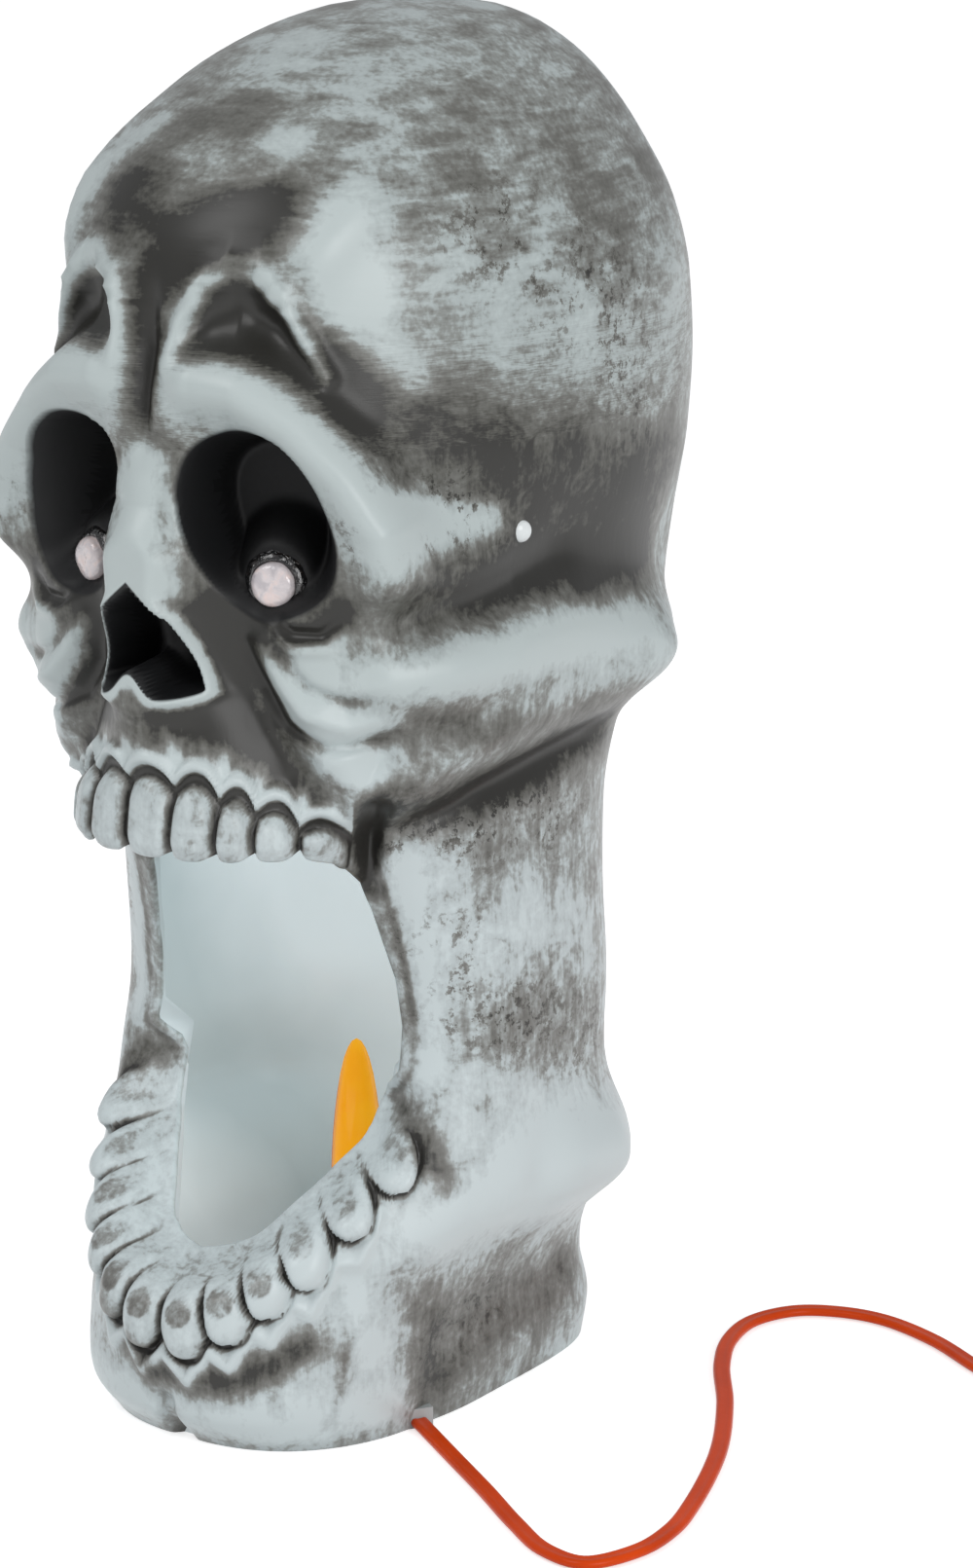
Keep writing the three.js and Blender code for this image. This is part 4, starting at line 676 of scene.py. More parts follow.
# The wash on and beside the nose's rim
NOSE_WASH = dict(rim=1.4, bare=1.1, beside=0.5)
SOCKET_FLOOR = float(plain_radius(np.float64(math.radians(SOCKET["floor_angle"])), SOCKET["floor_z"]))
SOCKET_FLOOR -= SOCKET["depth"]
SEAT = on_plain(math.radians(SOCKET["floor_angle"]), SOCKET["lamp_z"])


# Relief over the plain skull, and how washed, speckled and black the paint is there
def surface_facts(angle, z):
    signed = on_plain(angle, z)
    at = signed * [1, 1, 1]
    at[..., 0] = np.abs(at[..., 0])
    degrees = np.degrees(np.arctan2(np.sin(angle), np.cos(angle)))
    total, wash = np.zeros(at.shape[:-1]), np.zeros(at.shape[:-1])
    for line, width, height, dark in BUILT:
        shape = ridge(line, width, at)
        total += height * shape
        wash += dark * (shape if dark < 0 else ridge(line, width * WASH_SPREAD, at))
    # The strokes also add a painted highlight on the chin, as wash below zero
    wash += strokes(STROKES, signed, at) - CLEANER_BACK["wash"] * smooth(
        CLEANER_BACK["front"], CLEANER_BACK["back"], np.abs(degrees))
    speckle = strokes(SPONGED, signed, at)
    upper, upper_wash = upper_teeth(degrees, z)
    lower, lower_wash = lower_teeth(signed)
    off_rim = 1 - ridge(FOOT_LINE, FOOT_FADE, at)
    lower, lower_wash = lower * off_rim, lower_wash * off_rim - LOWER_WASH["rim"] * (1 - off_rim)
    total += upper + lower - LOWER["roll_in"] * ridge(FOOT_LINE, LOWER["roll_width"], at)
    wash += upper_wash + lower_wash
    front = np.cos(angle) >= 0
    nose_in, socket_in = inside_nose(at), inside_socket(at)
    nose_depth = np.where(front, smooth(0, NOSE["slope"], nose_in), 0)
    rim = np.where(front, np.exp(-(nose_in / NOSE["rim_width"]) ** 2) * (1 - nose_depth), 0)
    socket_depth = np.where(front, smooth(0, SOCKET["slope"], socket_in), 0)
    off_axis = np.minimum(np.abs(angle) - math.radians(SOCKET["floor_angle"]), SOCKET["floor_turn"])
    seat = 1 - smooth(SOCKET["seat_flat"], SOCKET["seat_reach"], np.linalg.norm(at - SEAT, axis=-1))
    floor = (SOCKET_FLOOR + SOCKET["seat_rise"] * seat) / np.cos(off_axis) - plain_radius(angle, z)
    total = total + NOSE["rim"] * rim
    total = total + (floor - total) * socket_depth - NOSE["depth"] * nose_depth
    black = np.where(front, np.maximum(smooth(*SOCKET_SPRAY, socket_in), smooth(*NOSE_SPRAY, nose_in)), 0)
    beside = np.where(front, np.exp(-((nose_in + NOSE["beside"]) / NOSE["beside_width"]) ** 2), 0)
    beside = beside * (at[..., 2] < NOSE["top"] - NOSE["beside_top"])
    bare_rim = np.minimum(NOSE_WASH["rim"] * rim, 1)
    wash = (wash + NOSE_WASH["beside"] * beside) * (1 - bare_rim) - NOSE_WASH["bare"] * bare_rim
    return total, {"wash": wash, "speckle": speckle, "black": black}


# Rows and columns of half the skull. Every third one carries on to the inside.
COLUMNS = dict(mouth=102, cheek=36, back=36)
ROWS = dict(foot=60, mouth=27, jaw=60, face=78, crown=27)
STRIDE = 3
INNER_FROM = 4 * STRIDE
# Degrees that the cheek's columns take, and millimetres to a degree at the mouth's lower edge
CHEEK_DEGREES = 26
PER_DEGREE = 1.4
# Rows are level from the first height up. Their steps grow up to the second one, then shrink to the
# crown's top and stop just short of it.
LEVEL, BROW = 215, 300
ROW_GROWTH = 1.12
CROWN_SHARE = 0.9999
# The columns below the mouth bend from the foot to the mouth's edge
FOOT_GROWTH = 1.5
# The inner ledge that the base plate is screwed to: [inset, height]
LEDGE = [(WALL, 0), (WALL, 4.3), (11.0, 4.3), (11.0, 6.9), (2 * WALL, 6.9)]


# Angle and height of each row and column, from the back round the left side to the back
def skull_grid():
    mouth, cheek, back = COLUMNS.values()
    corner, foot_corner = MOUTH_SIDE[0], MOUTH_SIDE[-1]
    nominal = np.concatenate([
        np.linspace(0, corner[0], mouth + 1),
        corner[0] + CHEEK_DEGREES * np.arange(1, cheek + 1) / cheek,
        corner[0] + CHEEK_DEGREES + (180 - CHEEK_DEGREES - corner[0]) * np.arange(1, back + 1) / back,
    ])
    count = len(nominal) - 1
    share = (nominal[mouth:] - corner[0]) / (180 - corner[0])
    foot = np.array(MOUTH_FOOT[::-1], float)
    steps = np.hypot(np.diff(foot[:, 0]) * PER_DEGREE, np.diff(foot[:, 1]) * HEIGHT)
    along = np.concatenate([[0], np.cumsum(steps)])
    places = np.linspace(0, along[-1], mouth + 1)
    beside = (foot_corner[0] + (180 - foot_corner[0]) * share)[1:]
    rim_angle = np.concatenate([through(np.column_stack([along, foot[:, 0]]), 1, places), beside])
    rim_z = through(np.column_stack([along, foot[:, 1]]), 1, places) * HEIGHT
    rim_z = np.concatenate([rim_z, np.full(count - mouth, foot_corner[1] * HEIGHT)])
    first = np.concatenate([np.linspace(0, foot_corner[0], mouth + 1), beside])
    side = np.array(MOUTH_SIDE[::-1], float)

    # One half, with the teeth of its side
    def half(sign):
        rows = []
        for j in range(ROWS["foot"]):
            up = j / ROWS["foot"]
            rows.append((first + (rim_angle - first) * up ** FOOT_GROWTH, rim_z * up))
        for j in range(ROWS["mouth"] + 1):
            up = j / ROWS["mouth"]
            level = foot_corner[1] + (corner[1] - foot_corner[1]) * up
            edge = np.interp(level, side[:, 1], side[:, 0])
            ahead = rim_angle[:mouth] + (nominal[:mouth] - rim_angle[:mouth]) * up
            z = np.concatenate([rim_z[:mouth], np.full(count - mouth + 1, level * HEIGHT)])
            rows.append((np.concatenate([ahead, edge + (180 - edge) * share]), z))
        rim = mouth_top(sign * nominal[:mouth + 1])
        top = np.concatenate([rim, np.full(count - mouth, corner[1] * HEIGHT)])
        rows[-1] = (nominal, top)
        for j in range(1, ROWS["jaw"] + 1):
            rows.append((nominal, top + (LEVEL - top) * j / ROWS["jaw"]))
        for j in range(1, ROWS["face"] + 1):
            up = (j / ROWS["face"]) ** ROW_GROWTH
            rows.append((nominal, np.full(count + 1, LEVEL + (BROW - LEVEL) * up)))
        for j in range(1, ROWS["crown"] + 1):
            up = math.sin(j / ROWS["crown"] * math.pi / 2)
            rows.append((nominal, np.full(count + 1, BROW + (HEIGHT - BROW) * up * CROWN_SHARE)))
        return np.radians([row[0] for row in rows]), np.array([row[1] for row in rows])

    (angle, z), (other_angle, other_z) = half(1), half(-1)
    return (np.concatenate([-other_angle[:, :0:-1], angle[:, :-1]], 1),
            np.concatenate([other_z[:, :0:-1], z[:, :-1]], 1))


# Heights between which the wall's thickness turns from sideways to downwards
UNDER_CROWN = (320, 368)
AXIS_GAP = 0.01


# The inside keeps the wall's thickness behind the deepest relief nearby, and under the crown
def inside(radius, angle, z):
    least = radius.copy()
    for _ in range(STRIDE):
        least = np.minimum(least, np.minimum(np.roll(least, 1, 1), np.roll(least, -1, 1)))
        up, down = np.vstack([least[1:], least[-1:]]), np.vstack([least[:1], least[:-1]])
        least = np.minimum(least, np.minimum(up, down))
    under = smooth(*UNDER_CROWN, z)
    return at_radius(np.maximum(least - WALL * (1 - under), AXIS_GAP), angle, z - WALL * under)


# Keeps a reach below its limit with a soft bend
def capped(reach, limit, bend):
    return limit - bend * np.logaddexp(0, (limit - reach) / bend)


def edges_where(bm, test):
    return [edge for edge in bm.edges if edge.is_boundary and all(test(vert) for vert in edge.verts)]


ROLL_TURNS = range(36, 181, 36)


# Rolls the open edge of the mouth inwards, as a half round of the wall's thickness
def roll_mouth_edge(bm, edges):
    bm.normal_update()
    rim = set(edges)
    frames = {}
    for vert in {vert for edge in edges for vert in edge.verts}:
        first, second = (edge.other_vert(vert).co for edge in vert.link_edges if edge in rim)
        along = (second - first).normalized()
        onward = along.cross(vert.normal).normalized()
        centres = [face.calc_center_median() for face in vert.link_faces]
        if onward.dot(vert.co - sum(centres, Vector()) / len(centres)) < 0:
            onward.negate()
        frames[vert] = (vert.co.copy(), onward, -vert.normal)
    for turn in ROLL_TURNS:
        bulge, depth = math.sin(math.radians(turn)), 1 - math.cos(math.radians(turn))
        made = bmesh.ops.extrude_edge_only(bm, edges=edges)["geom"]
        fresh = [item for item in made if isinstance(item, bmesh.types.BMVert)]
        following = {}
        for vert in fresh:
            beside = [edge.other_vert(vert) for edge in vert.link_edges]
            source = next(other for other in beside if other in frames)
            following[vert] = frames[source]
            start, onward, inward = frames[source]
            vert.co = start + (onward * bulge + inward * depth) * WALL / 2
        frames = following
        edges = [edge for edge in made if isinstance(edge, bmesh.types.BMEdge) and edge.is_boundary]
    return edges


# Faces this black have the plain black spray, and the foot's edges this bent are sharp, in radians
ALL_BLACK = 0.97
FOOT_SHARP = 0.7
# How far the relief may stand out to the side and to the front, and over what distance it bends in
SIDE_LIMIT, SIDE_BEND = 74.9, 0.3
FRONT_LIMIT, FRONT_BEND = 104.0, 0.6


def make_skull():
    angle, z = skull_grid()
    relief, paint = surface_facts(angle, z)
    radius = plain_radius(angle, z) + relief
    outer = at_radius(radius, angle, z)
    outer[..., 0] = np.sign(outer[..., 0]) * capped(np.abs(outer[..., 0]), SIDE_LIMIT, SIDE_BEND)
    outer[..., 1] = -capped(-outer[..., 1], FRONT_LIMIT, FRONT_BEND)
    inner = inside(radius, angle, z)[INNER_FROM::STRIDE, ::STRIDE]
    rows, columns = np.indices(angle.shape)
    places = {"row": rows.astype(float), "column": columns.astype(float)}
    bm = bmesh.new()
    add_rings(bm, outer, {**paint, **places})
    inner_places = {name: values[INNER_FROM::STRIDE, ::STRIDE] for name, values in places.items()}
    blank = {name: np.zeros(inner.shape[:2]) for name in paint}
    inner_places["row"] = -1 - inner_places["row"]
    add_rings(bm, inner, {**blank, **inner_places})
    row, column, black = (bm.verts.layers.float[name] for name in ("row", "column", "black"))

    # The mouth, one cell wider on the inside
    front = angle.shape[1] // 2
    low, high = ROWS["foot"], ROWS["foot"] + ROWS["mouth"]

    def in_mouth(vert):
        spare = 0 if vert[row] >= 0 else STRIDE
        level = vert[row] if vert[row] >= 0 else -1 - vert[row]
        reach = COLUMNS["mouth"] + spare
        return low - spare <= level <= high + spare and abs(vert[column] - front) <= reach

    hole = [face for face in bm.faces if all(in_mouth(vert) for vert in face.verts)]
    bmesh.ops.delete(bm, geom=hole, context="FACES")
    mouth_edges = edges_where(bm, lambda vert: vert[row] >= 0 and in_mouth(vert))
    inner_edges = edges_where(bm, lambda vert: vert[row] < 0 and in_mouth(vert))
    foot_edges = edges_where(bm, lambda vert: vert[row] == 0)
    inner_foot = edges_where(bm, lambda vert: vert[row] == -1 - INNER_FROM)
    lip = roll_mouth_edge(bm, mouth_edges)
    bmesh.ops.bridge_loops(bm, edges=lip + inner_edges)

    # The foot turns in to the ledge, and up to the inner wall
    turn = angle[0]
    plain = plain_radius(turn, np.zeros_like(turn))
    for inset, level in LEDGE:
        made = bmesh.ops.extrude_edge_only(bm, edges=foot_edges)["geom"]
        for vert in (item for item in made if isinstance(item, bmesh.types.BMVert)):
            spot = round(vert[column])
            vert[row] = -1
            vert.co = at_radius(plain[spot] - inset, turn[spot], np.float64(level))
        foot_edges = [edge for edge in made if isinstance(edge, bmesh.types.BMEdge) and edge.is_boundary]
    bmesh.ops.bridge_loops(bm, edges=foot_edges + inner_foot)

    # The crown closes in a point, outside and in
    for level in (angle.shape[0] - 1, -angle.shape[0]):
        ring = [vert for vert in bm.verts if vert[row] == level]
        bmesh.ops.pointmerge(bm, verts=ring, merge_co=sum((vert.co for vert in ring), Vector()) / len(ring))
    bmesh.ops.recalc_face_normals(bm, faces=bm.faces)
    for face in bm.faces:
        face.smooth = True
        face.material_index = 0 if all(vert[row] >= 0 for vert in face.verts) else 1
        if all(vert[black] > ALL_BLACK for vert in face.verts):
            face.material_index = 2
    for edge in bm.edges:
        at_foot = all(vert[row] in (0, -1) for vert in edge.verts)
        edge.smooth = not at_foot or edge.calc_face_angle(0) < FOOT_SHARP
    for name in ("row", "column"):
        bm.verts.layers.float.remove(bm.verts.layers.float[name])
    finish("skull", bm, [SKULL_PAINT, BARE_INSIDE, SPRAYED_BLACK], ("skull_shell",))


# Blow-moulded polyethylene, sprayed and wiped by hand: bluish white, with a grey-brown wash that
# stays in the hollows and ends in dry brush marks, sponged specks, and black in sockets and nose, and a
# painted highlight on the sides of the chin
def sprayed_and_wiped(tree):
    place = node(tree, "TexCoord", output="Object")
    wash, speckle, black = (
        node(tree, "Attribute", output="Fac", attribute_name=name) for name in ("wash", "speckle", "black"))
    height = node(tree, "SeparateXYZ", {"Vector": place}, output="Z")
    crown = node(tree, "MapRange", {"Value": height, "From Min": 265 * MM, "From Max": 292 * MM})
    upright = node(tree, "Mapping", {"Vector": place, "Scale": (1, 1, 0.16)})
    around = node(tree, "Mapping", {"Vector": place, "Scale": (0.2, 0.2, 1)})
    stretched = node(tree, "Mix", {0: crown, 4: upright, 5: around}, output=1, data_type="VECTOR")
    loose = node(tree, "Mapping", {"Vector": place, "Scale": (0.42, 0.42, 1)})
    swept = node(tree, "Mix", {0: crown, 4: place, 5: loose}, output=1, data_type="VECTOR")
    clouds = node(tree, "TexNoise", {
        "Vector": place, "Scale": 1 / (26 * MM), "Detail": 5, "Roughness": 0.62, "Distortion": 0.5})
    bristles = node(tree, "TexNoise", {
        "Vector": stretched, "Scale": 1 / (2.4 * MM), "Detail": 3, "Roughness": 0.6})
    grain = node(tree, "TexNoise", {"Vector": place, "Scale": 1 / (1.5 * MM), "Detail": 2})
    smears = node(tree, "TexNoise", {
        "Vector": swept, "Scale": 1 / (9 * MM), "Detail": 4, "Roughness": 0.6, "Distortion": 1.2})
    dark = node(tree, "Math", {0: wash, 1: 0.6, 2: 0.41}, operation="MULTIPLY_ADD")
    for pattern, share in ((clouds, 0.85), (smears, 0.75), (bristles, 0.55), (grain, 0.35)):
        about_none = node(tree, "Math", {0: pattern, 1: 0.5}, operation="SUBTRACT")
        dark = node(tree, "Math", {0: about_none, 1: share, 2: dark}, operation="MULTIPLY_ADD")
    # Sponge marks, 2 to 4 mm
    dabs = node(tree, "TexNoise", {"Vector": place, "Scale": 1 / (3.6 * MM), "Detail": 5, "Roughness": 0.75})
    dots = node(tree, "MapRange", {"Value": dabs, "From Min": 0.53, "From Max": 0.58})
    patches = node(tree, "MapRange", {"Value": clouds, "From Min": 0.38, "From Max": 0.55})
    sponged = node(tree, "Math", {0: dots, 1: patches}, operation="MULTIPLY")
    sponged = node(tree, "Math", {0: sponged, 1: speckle}, operation="MULTIPLY")
    dark = node(tree, "Math", {0: sponged, 1: 0.75, 2: dark}, operation="MULTIPLY_ADD")
    paint = node(tree, "ValToRGB", {"Fac": dark}, stops=[
        (0.0, "#cfd9da"), (0.28, "#bbc4c5"), (0.4, "#9b9f9d"), (0.56, "#7b7b77"), (0.82, "#5a5954"),
        (1.0, "#302f2c")])
    # The paint is made a little darker from 165 mm up, and fully so above 215 mm
    darker_higher_up = node(tree, "MapRange", {"Value": height, "From Min": 165 * MM, "From Max": 215 * MM})
    paint = node(tree, "Mix", {0: darker_higher_up, 6: paint, 7: linear("#e9eae8")}, output=2, data_type="RGBA",
                 blend_type="MULTIPLY")
    sprayed = node(tree, "MapRange", {"Value": black, "From Min": 0.4, "From Max": 0.58})
    colour = node(tree, "Mix", {0: sprayed, 6: paint, 7: linear("#07080a")}, output=2, data_type="RGBA")
    roughness = node(tree, "Math", {0: sprayed, 1: 0.2, 2: 0.36}, operation="MULTIPLY_ADD")
    bump = node(tree, "Bump", {"Height": bristles, "Distance": 0.12 * MM, "Strength": 0.35})
    return node(tree, "BsdfPrincipled", {
        "Base Color": colour, "Roughness": roughness, "IOR": 1.5, "Specular IOR Level": 0.4, "Normal": bump})


# The black spray deep in the sockets and the nose: a dull coat with a faint mist of overspray
def sprayed_black(tree):
    place = node(tree, "TexCoord", output="Object")
    mist = node(tree, "TexNoise", {"Vector": place, "Scale": 1 / (1.5 * MM), "Detail": 3})
    colour = node(tree, "ValToRGB", {"Fac": mist}, stops=[(0.35, "#050506"), (0.75, "#0b0c0d")])
    bump = node(tree, "Bump", {"Height": mist, "Distance": 0.1 * MM, "Strength": 0.3})
    return node(tree, "BsdfPrincipled", {
        "Base Color": colour, "Roughness": 0.56, "IOR": 1.5, "Specular IOR Level": 0.3, "Normal": bump})


# The same polyethylene, bare: pale and waxy, with a painted glow for the daylight coming through the thin
# wall
def bare_blown(tree):
    place = node(tree, "TexCoord", output="Object")
    parts = node(tree, "SeparateXYZ", {"Vector": place}, output="Y").node.outputs
    flow = node(tree, "TexNoise", {"Vector": place, "Scale": 1 / (60 * MM), "Detail": 3})
    # Painted shadow: a greyer band leans across the inside, with lighter sides
    across = node(tree, "Math", {0: parts["Z"], 1: 0.56, 2: parts["Y"]}, operation="MULTIPLY_ADD")
    across = node(tree, "Math", {0: flow, 1: 40 * MM, 2: across}, operation="MULTIPLY_ADD")
    band = node(tree, "MapRange", {"Value": across, "From Min": 15 * MM, "From Max": 125 * MM})
    colour = node(tree, "ValToRGB", {"Fac": band}, stops=[
        (0.0, "#d8e0e2"), (0.34, "#b4bfc1"), (0.5, "#bac5c7"), (0.85, "#e8eef0")])
    ripples = node(tree, "TexNoise", {"Vector": place, "Scale": 1 / (9 * MM), "Detail": 3})
    bump = node(tree, "Bump", {"Height": ripples, "Distance": 0.25 * MM, "Strength": 0.4})
    # The emission is a painted glow that follows the colour, for daylight through the wall
    return node(tree, "BsdfPrincipled", {
        "Base Color": colour, "Roughness": 0.42, "IOR": 1.5, "Normal": bump,
        "Emission Color": colour, "Emission Strength": 0.27})


# Milky acrylic, moulded over a tiny lamp: pinkish and frosted, with crazing that catches the light and a
# faint painted glow
def milky_acrylic(tree):
    place = node(tree, "TexCoord", output="Object")
    cloud = node(tree, "TexNoise", {"Vector": place, "Scale": 1 / (4 * MM), "Detail": 4, "Distortion": 1.0})
    colour = node(tree, "ValToRGB", {"Fac": cloud}, stops=[
        (0.3, "#b9b3b6"), (0.5, "#d2cacb"), (0.7, "#e2cfca")])
    crazing = node(tree, "TexVoronoi", {"Vector": place, "Scale": 1 / (1.9 * MM)}, feature="DISTANCE_TO_EDGE")
    bump = node(tree, "Bump", {"Height": crazing, "Distance": 0.5 * MM, "Strength": 0.5})
    # A faint painted glow: the emission follows the colour
    return node(tree, "BsdfPrincipled", {
        "Base Color": colour, "Roughness": 0.16, "IOR": 1.49, "Normal": bump,
        "Emission Color": colour, "Emission Strength": 0.08, "Coat Weight": 0.6, "Coat Roughness": 0.05})


# Hot-melt glue, black and run by hand: wet shine on soft lumps, and brownish specks painted in as glints
def black_glue(tree):
    place = node(tree, "TexCoord", output="Object")
    painted_glints = node(tree, "TexNoise", {"Vector": place, "Scale": 1 / (1.2 * MM), "Detail": 3})
    # Painted glints: brownish specks in the black
    colour = node(tree, "ValToRGB", {"Fac": painted_glints}, stops=[(0.5, "#0b0b0c"), (0.75, "#241d1a")])
    lumps = node(tree, "TexNoise", {"Vector": place, "Scale": 1 / (2.6 * MM), "Detail": 2, "Distortion": 0.8})
    bump = node(tree, "Bump", {"Height": lumps, "Distance": 1.3 * MM, "Strength": 0.9})
    return node(tree, "BsdfPrincipled", {
        "Base Color": colour, "Roughness": 0.07, "IOR": 1.5, "Normal": bump,
        "Coat Weight": 0.8, "Coat Roughness": 0.03})


# Clear acrylic dyed amber, moulded in two halves: deep orange, with painted shade that makes it redder where
# it is seen edge on, and a painted glow all over
def amber_acrylic(tree):
    place = node(tree, "TexCoord", output="Object")
    flow = node(tree, "TexNoise", {"Vector": place, "Scale": 1 / (14 * MM), "Detail": 3})
    amber = node(tree, "ValToRGB", {"Fac": flow}, stops=[(0.3, "#fb9f04"), (0.7, "#fdae10")])
    # Painted shade: red-brown where the surface is seen edge on
    edge_on_shade = node(tree, "LayerWeight", {"Blend": 0.35}, output="Facing")
    edge = node(tree, "MapRange", {"Value": edge_on_shade, "From Min": 0.45, "From Max": 0.95})
    colour = node(tree, "Mix", {0: edge, 6: amber, 7: linear("#b8520c")}, output=2, data_type="RGBA")
    ripples = node(tree, "TexNoise", {"Vector": place, "Scale": 1 / (7 * MM), "Detail": 2})
    bump = node(tree, "Bump", {"Height": ripples, "Distance": 0.2 * MM, "Strength": 0.3})
    # A painted glow: the emission follows the colour
    return node(tree, "BsdfPrincipled", {
        "Base Color": colour, "Roughness": 0.12, "IOR": 1.49, "Specular IOR Level": 0.3, "Normal": bump,
        "Emission Color": colour, "Emission Strength": 0.36})


# Moulded plastics of the inner parts and the plug, with an even texture from the mould, which is drawn
# coarser than the real one so that it shows
def moulded(low, high, roughness, texture=0.9):
    def surface(tree):
        place = node(tree, "TexCoord", output="Object")
        shade_of = node(tree, "TexNoise", {"Vector": place, "Scale": 1 / (12 * MM), "Detail": 4})
        colour = node(tree, "ValToRGB", {"Fac": shade_of}, stops=[(0.3, low), (0.7, high)])
        spark = node(tree, "TexNoise", {"Vector": place, "Scale": 1 / (texture * MM), "Detail": 2})
        bump = node(tree, "Bump", {"Height": spark, "Distance": 0.1 * MM, "Strength": 0.35})
        return node(tree, "BsdfPrincipled", {
            "Base Color": colour, "Roughness": roughness, "IOR": 1.5, "Normal": bump})
    return surface


# Metals: zinc-plated steel and rolled brass, with lines left by rolling and wear, which are drawn
# coarser than the real ones so that they show
def rolled(low, high, roughness):
    def surface(tree):
        place = node(tree, "TexCoord", output="Object")
        along = node(tree, "Mapping", {"Vector": place, "Scale": (1, 0.08, 1)})
        lines = node(tree, "TexNoise", {"Vector": along, "Scale": 1 / (0.5 * MM), "Detail": 2})
        colour = node(tree, "ValToRGB", {"Fac": lines}, stops=[(0.3, low), (0.7, high)])
        bump = node(tree, "Bump", {"Height": lines, "Distance": 0.03 * MM, "Strength": 0.3})
        return node(tree, "BsdfPrincipled", {
            "Base Color": colour, "Metallic": 1.0, "Roughness": roughness, "Normal": bump})
    return surface


# Blown lamp glass and fuse glass: clear, with faint drawn streaks
def clear_glass(tree):
    place = node(tree, "TexCoord", output="Object")
    along = node(tree, "Mapping", {"Vector": place, "Scale": (1, 1, 0.1)})
    streaks = node(tree, "TexNoise", {"Vector": along, "Scale": 1 / (0.8 * MM), "Detail": 2})
    colour = node(tree, "ValToRGB", {"Fac": streaks}, stops=[(0.3, "#e4eeea"), (0.7, "#f4faf8")])
    bump = node(tree, "Bump", {"Height": streaks, "Distance": 0.02 * MM, "Strength": 0.3})
    return node(tree, "BsdfPrincipled", {
        "Base Color": colour, "Roughness": 0.04, "IOR": 1.5, "Transmission Weight": 0.9, "Normal": bump})


SKULL_PAINT = material("sprayed_and_wiped_polyethylene", sprayed_and_wiped)
SPRAYED_BLACK = material("dull_black_spray", sprayed_black)
BARE_INSIDE = material("bare_blown_polyethylene", bare_blown)
GLUE = material("black_hot_melt_glue", black_glue)
LENS_FINISH = material("milky_moulded_acrylic", milky_acrylic)
FLAME_FINISH = material("amber_moulded_acrylic", amber_acrylic)
BLACK_STYRENE = material("black_moulded_styrene", moulded("#1b1b1c", "#262627", 0.45))
NATURAL_NYLON = material("natural_moulded_nylon", moulded("#d6d4c8", "#e3e2d8", 0.5))
GREEN_PVC = material("green_wire_pvc", moulded("#1f6b34", "#2a7d3e", 0.38))
GREY_RUBBER = material("grey_rubber", moulded("#a7acac", "#b9bebe", 0.6))
TIE_PVC = material("black_tie_pvc", moulded("#141415", "#202021", 0.5, 0.6))
PLUG_PVC = material("moulded_orange_pvc", moulded("#bc3402", "#cf4206", 0.42, 0.7))
RIVET_FINISH = material("white_moulded_rivet", moulded("#dfe5e5", "#eef2f2", 0.22))
PLATED_STEEL = material("zinc_plated_steel", rolled("#a9adb0", "#c3c7c9", 0.32))
ROLLED_BRASS = material("rolled_brass", rolled("#b9923f", "#d8b45e", 0.25))
GLASS = material("clear_drawn_glass", clear_glass)
make_skull()

# Lamps in the sockets
EYE = dict(angle=SOCKET["floor_angle"], z=SOCKET["lamp_z"], head=5.6, head_length=4.6, shank=4.2,
           shank_length=19.0, wave=0.22, wave_from=1.0, wave_above=3)
LAMP_REACH = SOCKET_FLOOR + SOCKET["seat_rise"] - SOCKET["lamp_sink"]
RIVET = dict(angle=64.0, z=240.9, head=2.9, head_length=2.0, shank=1.6, shank_length=6.0, tip_share=0.6,
             taper=1.2, rim=0.5, sink=0.6)
# Lenses, glue and rivets all start this far above what they sit on
FOOTING = 0.3
# The lens's edge in from its flank and down from its top, then its dome as a share of its radius and down
LENS_EDGE = [(0, 1.7), (0.25, 1.0), (0.8, 0.5)]
LENS_DOME_SHARES = [(0.7, 0.15), (0.4, 0), (0.16, 0.12), (0, 0.4)]
# The ring of glue: its sizes, how far its lumps pull it in and down, and its round side as
# [share of its radius, share of its height]
BEAD = dict(gap=0.05, radius=8.6, high=2.6, inner_share=0.9, pull=0.2, least=0.62, free=0.2, foot=0.4)
BEAD_SHARES = [(0.985, 0.25), (0.94, 0.5), (0.87, 0.74), (0.79, 0.92), (0.73, 1)]
BEAD_SHARP = math.radians(75)


# A frame that looks out of the skull: X across, Y up, Z away
def outwards(degrees, z, reach):
    turn = math.radians(degrees)
    across = Vector((math.cos(turn), math.sin(turn), 0))
    away = Vector((math.sin(turn), -math.cos(turn), 0))
    origin = Vector((reach * math.sin(turn), float(middle(z)) - reach * math.cos(turn), z))
    return Matrix.Translation(origin) @ Matrix((across, Vector((0, 0, 1)), away)).transposed().to_4x4()


# A lamp's milky cap: a shank, a flat flank, and a dull dome with a dimple where it was moulded
def make_eye_lens(name, side):
    head, length, shank, back = EYE["head"], EYE["head_length"], EYE["shank"], FOOTING - EYE["shank_length"]
    profile = [(0, back), (shank, back), (shank, FOOTING), (head, FOOTING)]
    profile += [(head - inward, length - down) for inward, down in LENS_EDGE]
    profile += [(head * share, length - down) for share, down in LENS_DOME_SHARES]
    bm = turned(profile, steps=48)
    for vert in bm.verts:
        if vert.co.z > EYE["wave_above"]:
            turn = math.atan2(vert.co.y, vert.co.x)
            level = smooth(EYE["wave_from"], head, vert.co.xy.length)
            vert.co.z += EYE["wave"] * math.sin(3 * turn + side) * level
        if vert.co.z > EYE["wave_above"]:
            vert.co.z = min(vert.co.z, length)
    bmesh.ops.transform(bm, matrix=outwards(side * EYE["angle"], EYE["z"], LAMP_REACH), verts=bm.verts)
    shade(bm)
    finish(name, bm, [LENS_FINISH], ("eye_lamp_" + name.split("_")[-1],))


# Lumps of three sizes round a ring, which the sines place unevenly: how many, how high, where they start
def lump(turn, side):
    total = 0.5
    for count, height, start in ((3, 0.26, 1.1 * side), (7, 0.16, 2.3), (13, 0.08, 0)):
        total += height * math.sin(count * turn + start)
    return total


